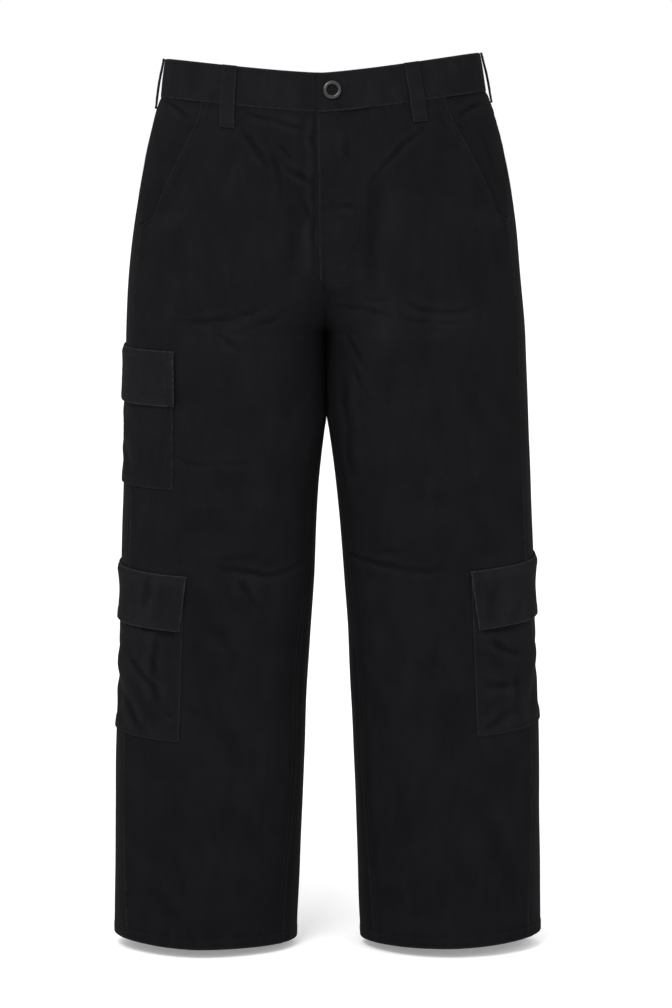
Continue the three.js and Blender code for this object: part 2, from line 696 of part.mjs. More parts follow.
// Closed solid from a geometry, with its shared points merged
function solidFrom(geometry) {
  const bare = geometry.clone();
  bare.deleteAttribute('normal');
  bare.deleteAttribute('uv');
  const merged = mergeVertices(bare, 1e-4);
  return new wasm.Manifold(new wasm.Mesh({
    numProp: 3,
    vertProperties: Float32Array.from(merged.attributes.position.array),
    triVerts: Uint32Array.from(merged.index.array),
  }));
}

function trianglesOf(solid) {
  const data = solid.getMesh();
  const positions = [];
  for (const corner of data.triVerts) {
    const at = corner * data.numProp;
    positions.push(data.vertProperties[at], data.vertProperties[at + 1], data.vertProperties[at + 2]);
  }
  return positions;
}

function fourHoleButton() {
  const dishLevel = BUTTON_HEIGHT - BUTTON_DISH;
  const rimInner = BUTTON_RADIUS - 2 * BUTTON_RIM;
  const profile = [
    new THREE.Vector2(0, 0),
    new THREE.Vector2(BUTTON_RADIUS - 1.6, 0),
    new THREE.Vector2(BUTTON_RADIUS - 0.4, 0.7),
    new THREE.Vector2(BUTTON_RADIUS, 1.7),
    new THREE.Vector2(BUTTON_RADIUS - 0.3, 2.7),
    new THREE.Vector2(BUTTON_RADIUS - 1.1, 3.5),
    new THREE.Vector2(BUTTON_RADIUS - BUTTON_RIM, BUTTON_HEIGHT),
    new THREE.Vector2(rimInner + 0.9, BUTTON_HEIGHT - 0.4),
    new THREE.Vector2(rimInner, dishLevel),
    new THREE.Vector2(0, dishLevel),
  ];
  let disc = solidFrom(new THREE.LatheGeometry(profile, BUTTON_SIDES));
  for (const [across, up] of [[1, 1], [1, -1], [-1, 1], [-1, -1]]) {
    const hole = new THREE.CylinderGeometry(BUTTON_HOLE, BUTTON_HOLE, BUTTON_HEIGHT * 3, HOLE_SIDES);
    hole.translate(across * BUTTON_HOLE_REACH, 0, up * BUTTON_HOLE_REACH);
    disc = disc.subtract(solidFrom(hole));
  }
  const mesh = meshFrom('button', trianglesOf(disc), PLASTIC);
  const share = 1 - BUTTON_X / ringAt(BUTTON_LEVEL).frontWay;
  const seat = bandPoint(1, share, BUTTON_LEVEL, BAND_LAP_RAISE + BUTTON_STAND);
  mesh.position.set(seat[0], seat[1], seat[2]);
  mesh.rotation.x = Math.PI - BUTTON_TILT;
  return mesh;
}

const trousers = new THREE.Group();
trousers.name = 'cargo_pants';
trousers.add(frontPanel(1, 'front_left'));
trousers.add(frontPanel(-1, 'front_right'));
trousers.add(backPanel(1, 'back_left'));
trousers.add(backPanel(-1, 'back_right'));
trousers.add(hipFacing(1, 'hip_facing_left'));
trousers.add(hipFacing(-1, 'hip_facing_right'));
trousers.add(waistband());
LOOPS.forEach((loop) => trousers.add(beltLoop(loop)));
POCKETS.forEach((pocket) => {
  trousers.add(pocketBag(pocket));
  trousers.add(pocketFlap(pocket));
});
trousers.add(fourHoleButton());

export default trousers;
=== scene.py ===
import bpy
import math
import numpy as np
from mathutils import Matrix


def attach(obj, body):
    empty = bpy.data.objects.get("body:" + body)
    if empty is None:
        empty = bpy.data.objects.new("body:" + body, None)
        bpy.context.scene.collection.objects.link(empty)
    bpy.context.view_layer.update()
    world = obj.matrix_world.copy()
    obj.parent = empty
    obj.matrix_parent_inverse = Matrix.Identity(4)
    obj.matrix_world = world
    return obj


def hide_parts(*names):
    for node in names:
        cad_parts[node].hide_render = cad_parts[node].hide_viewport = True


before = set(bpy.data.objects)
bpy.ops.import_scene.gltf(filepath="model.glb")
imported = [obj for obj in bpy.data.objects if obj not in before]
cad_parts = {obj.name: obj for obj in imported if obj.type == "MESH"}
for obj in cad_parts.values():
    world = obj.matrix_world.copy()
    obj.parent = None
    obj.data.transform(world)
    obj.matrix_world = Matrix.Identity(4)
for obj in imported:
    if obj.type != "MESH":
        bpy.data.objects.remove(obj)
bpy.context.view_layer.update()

MM = 0.001

# Cloth and clearances, in millimetres as all sizes of the form are
CLOTH = 1.3
SEAM_GAP = 0.12
BAND_TOP = 22.5
BAND_BOTTOM = -18.0
LAP_REACH = 6.2
UNDERLAP_REACH = 30.0
BAND_LAP_RAISE = 2.7
FLY_LAP_RAISE = 1.85
FLY_WIDTH = 40.0
FLY_END = -217.0
DIP_FRONT = 20.0
DIP_BACK = 17.0
DIP_FADE_TOP = -20.0
DIP_FADE_END = -135.0
DIP_POWER = 1.3
LEAN_TOP = 3.3
LEAN_HEM = 1.0
RIGHT_LEG_INNER_EASE = 0.023
RIGHT_LEG_OUTER_EASE = 0.009
LEFT_LEG_SHIFT = -0.2
EASE_TOP = -430.0
EASE_FULL = -550.0
HEM_LIFT = 4.0
HEM_DROP = 2.3
HEM_POWER = 1.5
HEM_SHAPE_TOP = -800.0
CROTCH = -275.0
RISE_CURVE_TOP = -110.0
RISE_CURVE_POWER = 1.6
LEAST_SPLIT = 0.02
LEGS_TOUCH = -0.3
HEM = -948.5
HEM_FOLD = 12.5
MOUTH_END = -158.0
MOUTH_RUN_IN = 11.0
FACING_END = -180.0
FACING_UNDERLAP = 16.0
ROUND_FRONT = 2.3
ROUND_BACK = 2.4
ROUND_HEM = 1.8
ROUND_FADE = -730.0
FLAP_STAND = 1.3
FLAP_BEYOND = 2
RING_STEPS = 160


class Table:
    """Smooth run through rows ordered from high to low, by column name."""

    def __init__(self, columns, rows):
        self.columns = columns
        self.rows = np.array(rows, dtype=float)
        self.z = self.rows[:, 0]

    def read(self, name, z):
        z = np.clip(np.asarray(z, dtype=float), self.z[-1], self.z[0])
        values = self.rows[:, self.columns.index(name)]
        last = len(self.z) - 1
        i = np.clip(np.searchsorted(-self.z, -z, side="right") - 1, 0, last - 1)
        before = np.maximum(i - 1, 0)
        after = np.minimum(i + 2, last)
        step = self.z[i + 1] - self.z[i]
        straight = (values[i + 1] - values[i]) / step
        slope_a = np.where(i == 0, straight,
                           (values[i + 1] - values[before]) / (self.z[i + 1] - self.z[before]))
        slope_b = np.where(i + 1 == last, straight,
                           (values[after] - values[i]) / (self.z[after] - self.z[i]))
        t = (z - self.z[i]) / step
        t2 = t * t
        t3 = t2 * t
        return ((2 * t3 - 3 * t2 + 1) * values[i] + (t3 - 2 * t2 + t) * step * slope_a
                + (3 * t2 - 2 * t3) * values[i + 1] + (t3 - t2) * step * slope_b)


SECTIONS = Table(("z", "out", "gap", "mid", "front", "back", "shift"), [
    (24, 169.6, 0, 0, 99, 99, 0),
    (4, 172.4, 0, 0, 101, 102, 0),
    (-18, 175.8, 0, 0, 103.5, 105.5, 0),
    (-30, 180.4, 0, 1, 106.5, 109.5, 0),
    (-46, 185.0, 0, 5, 109, 114, 0.5),
    (-73, 191.9, 0, 14, 111.5, 120, 1),
    (-106, 199.0, 0, 28, 114.5, 127.5, 2),
    (-138, 204.6, 0, 44, 116.5, 133, 3),
    (-171, 209.4, 0, 61, 117, 136, 4),
    (-210, 213.4, 0, 81, 116, 135.5, 5),
    (-245, 216.2, 0, 96, 113, 130.5, 6),
    (-275, 218.2, 0, 104.5, 108.5, 123.5, 7),
    (-305, 219.3, -0.3, 108, 104, 114.5, 7),
    (-340, 220.6, -0.3, 109.2, 100, 106, 7),
    (-368, 221.6, -0.2, 110.0, 97, 100.5, 7),
    (-384, 222.1, 2.2, 110.8, 95.5, 98, 7),
    (-417, 223.2, 6.6, 113.6, 92.5, 93.5, 6.5),
    (-450, 224.3, 10.4, 116.1, 90, 90, 6),
    (-484, 225.5, 13.6, 118.6, 87.5, 87.5, 5.5),
    (-550, 227.6, 17.8, 121.5, 83.5, 85, 5),
    (-617, 230.2, 22.4, 125.2, 79.5, 84, 5),
    (-684, 232.3, 26.0, 128.1, 77, 84, 5),
    (-752, 234.6, 28.6, 131.1, 75.5, 83.5, 5),
    (-819, 236.0, 31.2, 133.4, 74.5, 82, 5),
    (-887, 236.9, 34.2, 135.5, 73.5, 80, 5),
    (-950, 237.4, 36.8, 137.0, 73, 79, 5),
])
SIDE_SEAM = Table(("z", "reach"), [
    (24, 2), (-18, 2), (-60, 14), (-110, 34), (-165, 55),
    (-230, 58), (-400, 55), (-550, 49), (-700, 44), (-950, 41),
])
INSEAM = Table(("z", "reach"), [
    (-275, 0), (-285, 9), (-305, 20), (-340, 33), (-384, 39), (-450, 41), (-950, 40),
])
MOUTH = Table(("z", "x"), [
    (-10, 128), (-28, 131.5), (-41, 136), (-54, 141.5),
    (-73, 150.5), (-105, 165.5), (-129, 176), (-160, 188),
])
SWAY = Table(("z", "x"), [
    (24, -3.1), (-18, -2.2), (-60, -1.1), (-171, -0.5), (-260, 0), (-384, 1.4), (-500, 2.4), (-950, 2.4),
])

# Creases by side and face: start, bend and end as (across, height), then depth and half width,
# and how far the cloth stands up beside the trough
FOLDS = {
    (-1, "front"): [
        ((42, -249), (62, -262), (96, -270), -1.7, 3, 0.6),
        ((66, -243), (116, -259), (160, -255), -1.1, 3, 0.5),
        ((112, -272), (101, -283), (86, -289), -0.9, 3, 0.4),
        ((170, -406), (126, -413), (80, -411), -0.54, 2.4, 0.9),
        ((112, -525), (62, -534), (26, -525), -1.6, 2.8, 0.6),
        ((124, -590), (108, -606), (98, -632), -1.53, 9, 0.5),
        ((92, -539), (84, -552), (72, -571), -0.96, 4.3, 0.5),
        ((82, -40), (52, -49), (21, -55), -1.2, 2.5, 0.6),
        ((88, -60), (75, -76), (61, -94), -1.32, 3.1, 0.6),
        ((49, -72), (42, -79), (34, -88), -0.9, 2.5, 0.6),
        ((40, -97), (26, -107), (11, -116), -1.5, 2.9, 0.8),
        ((55, -84), (50, -104), (46, -132), -0.84, 3.1, 0.5),
        ((24, -130), (19, -146), (12, -168), -0.9, 3.1, 0.6),
        ((36, -148), (34, -184), (41, -214), -2.04, 10, 0.4),
        ((12, -36), (11, -96), (12, -206), -3.2, 3, 0.1),
        ((58, -243), (74, -250), (88, -248), -0.8, 2.2, 0.5),
        ((30, -252), (44, -257), (52, -262), -0.8, 2.3, 0.5),
        ((98, -262), (116, -266), (128, -264), -0.7, 2.3, 0.5),
        ((132, -248), (148, -250), (162, -247), -0.7, 2.3, 0.5),
        ((70, -512), (92, -516), (112, -512), -0.7, 2.3, 0.5),
        ((178, -27), (164, -33), (147, -44), -1.7, 2.2, 0.6),
        ((82, -58), (44, -108), (14, -176), -2.55, 17, 0.2),
        ((146, -520), (90, -522), (40, -528), -1.36, 12, 0.3),
        ((150, -436), (96, -428), (40, -440), -1.19, 16, 0.3),
        ((28, -600), (34, -650), (44, -704), -2.21, 14, 0.3),
        ((140, -640), (118, -700), (96, -742), -1.44, 16, 0.3),
        ((196, -880), (176, -900), (158, -926), -1.53, 10, 0.4),
        ((120, -770), (86, -812), (58, -862), -1.53, 20, 0.2),
    ],
    (-1, "back"): [
        ((58, -262), (104, -292), (158, -300), -2.37, 5.8, 0.5),
        ((34, -290), (62, -318), (108, -334), -1.19, 3, 0.5),
        ((20, -262), (28, -300), (34, -362), -1.37, 5.2, 0.4),
        ((52, -508), (108, -524), (168, -520), -2.37, 5.2, 0.6),
        ((72, -556), (110, -570), (152, -566), -1.58, 5.8, 0.5),
        ((64, -478), (96, -486), (140, -476), -1.05, 5.2, 0.5),
        ((60, -70), (48, -120), (30, -170), -2.04, 15, 0.2),
        ((120, -60), (132, -110), (128, -160), -1.53, 16, 0.2),
        ((90, -690), (116, -760), (122, -842), -2.04, 18, 0.2),
        ((150, -884), (120, -904), (82, -900), -1.36, 11, 0.3),
        ((110, -380), (132, -410), (170, -424), -1.53, 14, 0.3),
    ],
    (1, "front"): [
        ((104, -55), (77, -79), (51, -109), -1.3, 2.4, 0.7),
        ((50, -104), (46, -166), (51, -244), -1.4, 9, 0.2),
        ((22, -56), (21, -74), (23, -92), -0.96, 3.7, 0.4),
        ((8, -138), (20, -138), (35, -141), -0.96, 2.4, 0.9),
        ((8, -198), (15, -197), (25, -193), -0.96, 2.4, 0.9),
        ((12, -245), (40, -246), (72, -258), -1.4, 3, 0.6),
        ((88, -239), (120, -250), (158, -243), -1.3, 3, 0.6),
        ((20, -262), (28, -284), (42, -306), -1.5, 3, 0.5),
        ((18, -318), (23, -366), (28, -428), -1.92, 4.3, 0.6),
        ((20, -517), (48, -520), (84, -527), -1.8, 2.8, 0.6),
        ((70, -526), (94, -529), (128, -525), -0.9, 3, 0.5),
        ((34, -234), (52, -238), (66, -236), -0.8, 2.2, 0.5),
        ((76, -252), (96, -258), (112, -256), -0.8, 2.3, 0.5),
        ((118, -258), (130, -262), (146, -256), -0.7, 2.3, 0.5),
        ((30, -300), (36, -326), (48, -344), -0.9, 2.6, 0.5),
        ((54, -506), (70, -509), (90, -506), -0.7, 2.3, 0.5),
        ((146, -43), (156, -34), (172, -31), -2.16, 2.4, 0.5),
        ((166, -62), (176, -84), (184, -112), -0.84, 3.1, 0.6),
        ((66, -84), (54, -128), (51, -196), -2.55, 12, 0.2),
        ((30, -636), (66, -716), (86, -822), -2.89, 17, 0.25),
        ((160, -776), (184, -826), (198, -886), -2.21, 15, 0.3),
        ((128, -590), (112, -630), (104, -680), -1.53, 14, 0.3),
        ((90, -440), (116, -452), (150, -446), -1.19, 14, 0.3),
        ((56, -880), (84, -900), (120, -908), -1.27, 13, 0.3),
        ((150, -330), (170, -372), (178, -430), -1.27, 17, 0.2),
    ],
    (1, "back"): [
        ((50, -258), (100, -282), (156, -288), -2.37, 5.8, 0.5),
        ((30, -286), (56, -316), (96, -336), -1.19, 3, 0.5),
        ((22, -268), (28, -312), (30, -372), -1.37, 5.2, 0.4),
        ((58, -518), (112, -514), (176, -500), -2.37, 5.2, 0.6),
        ((70, -568), (112, -566), (162, -548), -1.58, 5.8, 0.5),
        ((84, -474), (122, -482), (160, -468), -1.05, 5.2, 0.5),
        ((66, -66), (50, -124), (34, -176), -2.04, 15, 0.2),
        ((126, -64), (134, -108), (126, -168), -1.53, 16, 0.2),
        ((84, -680), (110, -752), (128, -836), -2.04, 18, 0.2),
        ((158, -878), (124, -902), (88, -906), -1.36, 11, 0.3),
        ((104, -386), (134, -412), (168, -418), -1.53, 14, 0.3),
    ],
}


def smooth(edge0, edge1, value):
    t = np.clip((np.asarray(value, dtype=float) - edge0) / (edge1 - edge0), 0, 1)
    return t * t * (3 - 2 * t)


def bell(distance, width):
    return np.exp(-(distance / width) ** 2)


ring_store = {}


def ring_at(level):
    """Half of the garment's section at a level, as runs forward and back from its outermost point."""
    key = round(float(level) * 1000)
    if key in ring_store:
        return ring_store[key]
    sizes = ("out", "front", "back", "shift", "mid")
    out, front, back, shift, mid = (float(SECTIONS.read(name, level)) for name in sizes)
    inner = SEAM_GAP / 2 + max(LEGS_TOUCH, float(SECTIONS.read("gap", level)))
    mid = max(inner, mid)
    drop = min(1.0, max(0.0, (RISE_CURVE_TOP - level) / (RISE_CURVE_TOP - CROTCH)))
    rise = math.sqrt(max(0.0, 1 - drop ** (2 * RISE_CURVE_POWER)))
    closed = level <= CROTCH
    at_hem = float(smooth(ROUND_FADE, HEM, level))

    def half(depth, above):
        power = above + (ROUND_HEM - above) * at_hem
        split = 1.0 if closed else max(0.0, 1 - rise ** power) ** (1 / power)
        outer_half = out - mid
        inner_half = (mid - inner) / max(LEAST_SPLIT, split)
        end_cos = (mid - inner) / inner_half if inner_half > 0 else 0.0
        end = math.pi if closed else math.acos(-(end_cos ** (power / 2)))
        angle = np.linspace(0, end, RING_STEPS + 1)
        c = np.cos(angle)
        s = np.sin(angle)
        x = mid + np.where(c > 0, outer_half, inner_half) * np.sign(c) * np.abs(c) ** (2 / power)
        y = depth * np.abs(s) ** (2 / power)
        way = np.concatenate([[0], np.cumsum(np.hypot(np.diff(x), np.diff(y)))])
        return x, y, way

    fx, fy, fw = half(front + shift, ROUND_FRONT)
    bx, by, bw = half(back - shift, ROUND_BACK)
    ring = {"front": (fx, shift - fy, fw), "back": (bx, shift + by, bw), "front_way": fw[-1],
            "back_way": bw[-1], "inner": inner, "mid": mid, "out": out, "closed": closed}
    ring_store[key] = ring
    return ring


def on_ring(ring, way):
    """Points at ways round: forward is positive, past the middle it goes on."""
    way = np.asarray(way, dtype=float)
    total = ring["front_way"] + ring["back_way"]
    if ring["closed"]:
        way = np.where(way > ring["front_way"], way - total, way)
        way = np.where(way < -ring["back_way"], way + total, way)
        flip = np.zeros(way.shape, bool)
        use = way
    else:
        over = way > ring["front_way"]
        under = way < -ring["back_way"]
        use = np.where(over, 2 * ring["front_way"] - way,
                       np.where(under, -2 * ring["back_way"] - way, way))
        flip = over | under
    x = np.where(use >= 0, np.interp(use, ring["front"][2], ring["front"][0]),
                 np.interp(-use, ring["back"][2], ring["back"][0]))
    y = np.where(use >= 0, np.interp(use, ring["front"][2], ring["front"][1]),
                 np.interp(-use, ring["back"][2], ring["back"][1]))
    return np.where(flip, 2 * ring["inner"] - x, x), y


def bend_points(start, bend, end, count=10):
    t = np.linspace(0, 1, count)[:, None]
    a, b, c = (np.array(p, dtype=float) for p in (start, bend, end))
    control = 2 * b - (a + c) / 2
    return (1 - t) ** 2 * a + 2 * t * (1 - t) * control + t ** 2 * c


def crease(u, v, start, bend, end, depth, width, lip):
    """Soft trough along a bent line, deepest in the middle, with a raised lip beside it."""
    path = bend_points(start, bend, end)
    spread = min(1.0, 4.0 / width) if width > 1 else 0.0
    u, v = (u + spread * (1.3 * np.sin(v / 8.1 + u / 23) + 0.5 * np.sin(v / 3.3)),
            v + spread * (1.2 * np.sin(u / 9.3 + v / 31) + 0.5 * np.sin(u / 3.7 + v / 13)))
    best = np.full(u.shape, 1e9)
    signed = np.zeros(u.shape)
    place = np.zeros(u.shape)
    for k in range(len(path) - 1):
        ax, az = path[k]
        dx, dz = path[k + 1] - path[k]
        length2 = dx * dx + dz * dz
        t = np.clip(((u - ax) * dx + (v - az) * dz) / length2, 0, 1)
        ox = u - (ax + t * dx)
        oz = v - (az + t * dz)
        gap = np.hypot(ox, oz)
        closer = gap < best
        best = np.where(closer, gap, best)
        signed = np.where(closer, np.sign(ox * dz - oz * dx + 1e-9) * gap, signed)
        place = np.where(closer, (k + t) / (len(path) - 1), place)
    taper = np.sin(np.pi * np.clip(0.06 + 0.88 * place, 0, 1)) ** 0.8
    taper *= 0.8 + 0.2 * np.sin(9 * place + start[0])
    turn = 1.0 if path[-1][0] > path[0][0] else -1.0
    beside = signed * turn
    trough = bell(best, width)
    ridge = lip * bell(beside - 1.9 * width, 1.3 * width)
    ridge += 0.5 * lip * bell(beside + 2.1 * width, 1.5 * width)
    return depth * taper * (trough - ridge)


def fold_far(z, fold):
    heights = [point[1] for point in fold[:3]]
    beyond = 6 * fold[4]
    return np.min(z) > max(heights) + beyond or np.max(z) < min(heights) - beyond


def fold_depth(side, x, z, ny):
    """Depth of all the creases of one side, fading towards its seams."""
    depth = np.zeros(x.shape)
    for face, facing in (("front", -ny), ("back", ny)):
        share = smooth(0.15, 0.6, facing)
        if not share.any():
            continue
        for fold in FOLDS[side, face]:
            if not fold_far(z, fold):
                depth += share * crease(x, z, *fold)
    return depth * smooth(5, 16, x)


POCKETS = [
    dict(name="pocket_upper_right", side=-1, front=65, back=-70, flap_front=69, draw=2.8, flap_top=-288,
         flap_foot=-348, bag_top=-297, bag_foot=-438, flare=-2, slope=4, fullness=1.3, press=2.6),
    dict(name="pocket_lower_right", side=-1, front=74.5, back=-80, flap_front=78, draw=6, flap_top=-529.5,
         flap_foot=-590.5, bag_top=-539, bag_foot=-712, flare=0, slope=10, fullness=1.7, press=4.2),
    dict(name="pocket_lower_left", side=1, front=74, back=-80, flap_front=75, draw=7, flap_top=-525.5,
         flap_foot=-590, bag_top=-535, bag_foot=-707, flare=-0.6, slope=12, fullness=1.6, press=4.0),
]
PRESS_BEYOND = 3
PRESS_WITHIN = 33


def pocket_press(side, level, way):
    press = np.zeros(np.shape(way))
    seam = SIDE_SEAM.read("reach", level)
    for pocket in POCKETS:
        if pocket["side"] != side:
            continue
        from_seam = way - seam
        down = (smooth(pocket["flap_top"] + PRESS_BEYOND, pocket["flap_top"] - PRESS_WITHIN, level)
                * smooth(pocket["bag_foot"] - PRESS_BEYOND, pocket["bag_foot"] + PRESS_WITHIN, level))
        across = (smooth(pocket["front"] + PRESS_BEYOND, pocket["front"] - PRESS_WITHIN, from_seam)
                  * smooth(pocket["back"] - PRESS_BEYOND, pocket["back"] + PRESS_WITHIN, from_seam))
        press += pocket["press"] * down * across
    return press


def swell(side, x, y, z):
    """Broad unevenness of limp cloth, by place in space."""
    broad = np.sin(x / 19 + 0.9 * np.sin(z / 61 + side) + 0.7 * side) * np.sin(z / 37 + y / 29 + 1.3 * side)
    slow = np.sin(z / 83 - x / 47 + 2.1) * np.sin(y / 31 - z / 59 + side)
    fine = np.sin(x / 9.5 + z / 21 + 0.8 * side) * np.sin(y / 12.0 + z / 33)
    calm = smooth(-20, -90, z) * smooth(0, 22, x)
    return calm * (0.55 * broad + 0.5 * slow + 0.16 * fine)


def row_points(side, level, way, out):
    """Points of the garment at one level."""
    ring = ring_at(level)
    x, y = on_ring(ring, way)
    ax, ay = on_ring(ring, way - 1.2)
    bx, by = on_ring(ring, way + 1.2)
    length = np.hypot(bx - ax, by - ay)
    nx = -(by - ay) / length
    ny = (bx - ax) / length
    reach = np.minimum(1, np.abs(x) / ring["out"])
    dip = (np.where(y < 0, DIP_FRONT, DIP_BACK) * (1 - reach ** DIP_POWER)
           * smooth(DIP_FADE_END, DIP_FADE_TOP, level))
    lean = LEAN_HEM + (LEAN_TOP - LEAN_HEM) * smooth(HEM, 0, level)
    leg_share = smooth(EASE_TOP, EASE_FULL, level)
    outness = np.maximum(0, (x - ring["mid"]) / (ring["out"] - ring["mid"]))
    middle = x - ring["mid"]
    ease = np.where(middle > 0, RIGHT_LEG_OUTER_EASE, RIGHT_LEG_INNER_EASE)
    spread = leg_share * (ease * middle if side < 0 else LEFT_LEG_SHIFT)
    inness = np.maximum(0, (ring["mid"] - x) / max(1.0, ring["mid"] - ring["inner"]))
    hem_shape = HEM_LIFT * outness ** HEM_POWER - HEM_DROP * inness ** HEM_POWER
    lift = hem_shape * smooth(HEM_SHAPE_TOP, HEM, level)
    sway = float(SWAY.read("x", level))
    z = level - dip + side * lean * x / ring["out"] + lift
    across = x + spread + side * sway
    off = (out + fold_depth(side, across, z, ny) + swell(side, x, y, z)
           - pocket_press(side, level, way))
    return np.stack([side * (x + spread + nx * off) + sway, y + ny * off, z + np.zeros(x.shape)], -1)


def surface(side, level, way, out):
    """Points of a row whose level runs a little up or down along it."""
    low = float(np.min(level))
    high = max(float(np.max(level)), low + 0.01)
    share = ((level - low) / (high - low))[:, None]
    return row_points(side, low, way, out) * (1 - share) + row_points(side, high, way, out) * share


def way_at_x(level, x):
    ring = ring_at(level)
    return float(np.interp(-x, -ring["front"][0], ring["front"][2]))


def side_seam(level):
    return float(SIDE_SEAM.read("reach", level))


def mouth_way(level):
    seam = side_seam(level) + SEAM_GAP / 2
    reach = max(0.0, way_at_x(level, float(MOUTH.read("x", level))) - seam)
    return seam + reach * float(smooth(MOUTH_END, MOUTH_END + MOUTH_RUN_IN, level))


# Meshes

def mesh_object(name, points, quads, uv=None, floats=None):
    mesh = bpy.data.meshes.new(name)
    mesh.vertices.add(len(points))
    mesh.vertices.foreach_set("co", (np.asarray(points) * MM).astype(np.float32).ravel())
    quads = np.asarray(quads, dtype=np.int32)
    mesh.loops.add(quads.size)
    mesh.loops.foreach_set("vertex_index", quads.ravel())
    mesh.polygons.add(len(quads))
    mesh.polygons.foreach_set("loop_start", np.arange(0, quads.size, 4, dtype=np.int32))
    mesh.polygons.foreach_set("loop_total", np.full(len(quads), 4, dtype=np.int32))
    mesh.polygons.foreach_set("use_smooth", np.ones(len(quads), dtype=bool))
    if uv is not None:
        layer = mesh.uv_layers.new(name="cut")
        layer.data.foreach_set("uv", np.asarray(uv)[quads.ravel()].astype(np.float32).ravel())
    for key, values in (floats or {}).items():
        attribute = mesh.attributes.new(key, "FLOAT", "POINT")
        attribute.data.foreach_set("value", np.asarray(values, dtype=np.float32))
    mesh.update(calc_edges=True)
    mesh.validate()
    item = bpy.data.objects.new(name, mesh)
    bpy.context.scene.collection.objects.link(item)
    return item


RELIEF_ROUNDS = 9
# Brightness of each piece of the one twill: painted light and shade, each piece made lighter or darker to
# stand for how the light falls on it
PIECE_PAINTED_LIGHT = (("flap", 1.06), ("bag", 0.90), ("waistband", 0.91), ("loop", 0.96))
PANEL_PAINTED_SHADE = 0.81


def index_at(from_edge, inset, first):
    """Fractional index at which distances from the first or last end reach an inset."""
    index = np.arange(len(from_edge), dtype=float)
    if first:
        return np.interp(inset, from_edge, index)
    return np.interp(inset, from_edge[::-1], index[::-1])


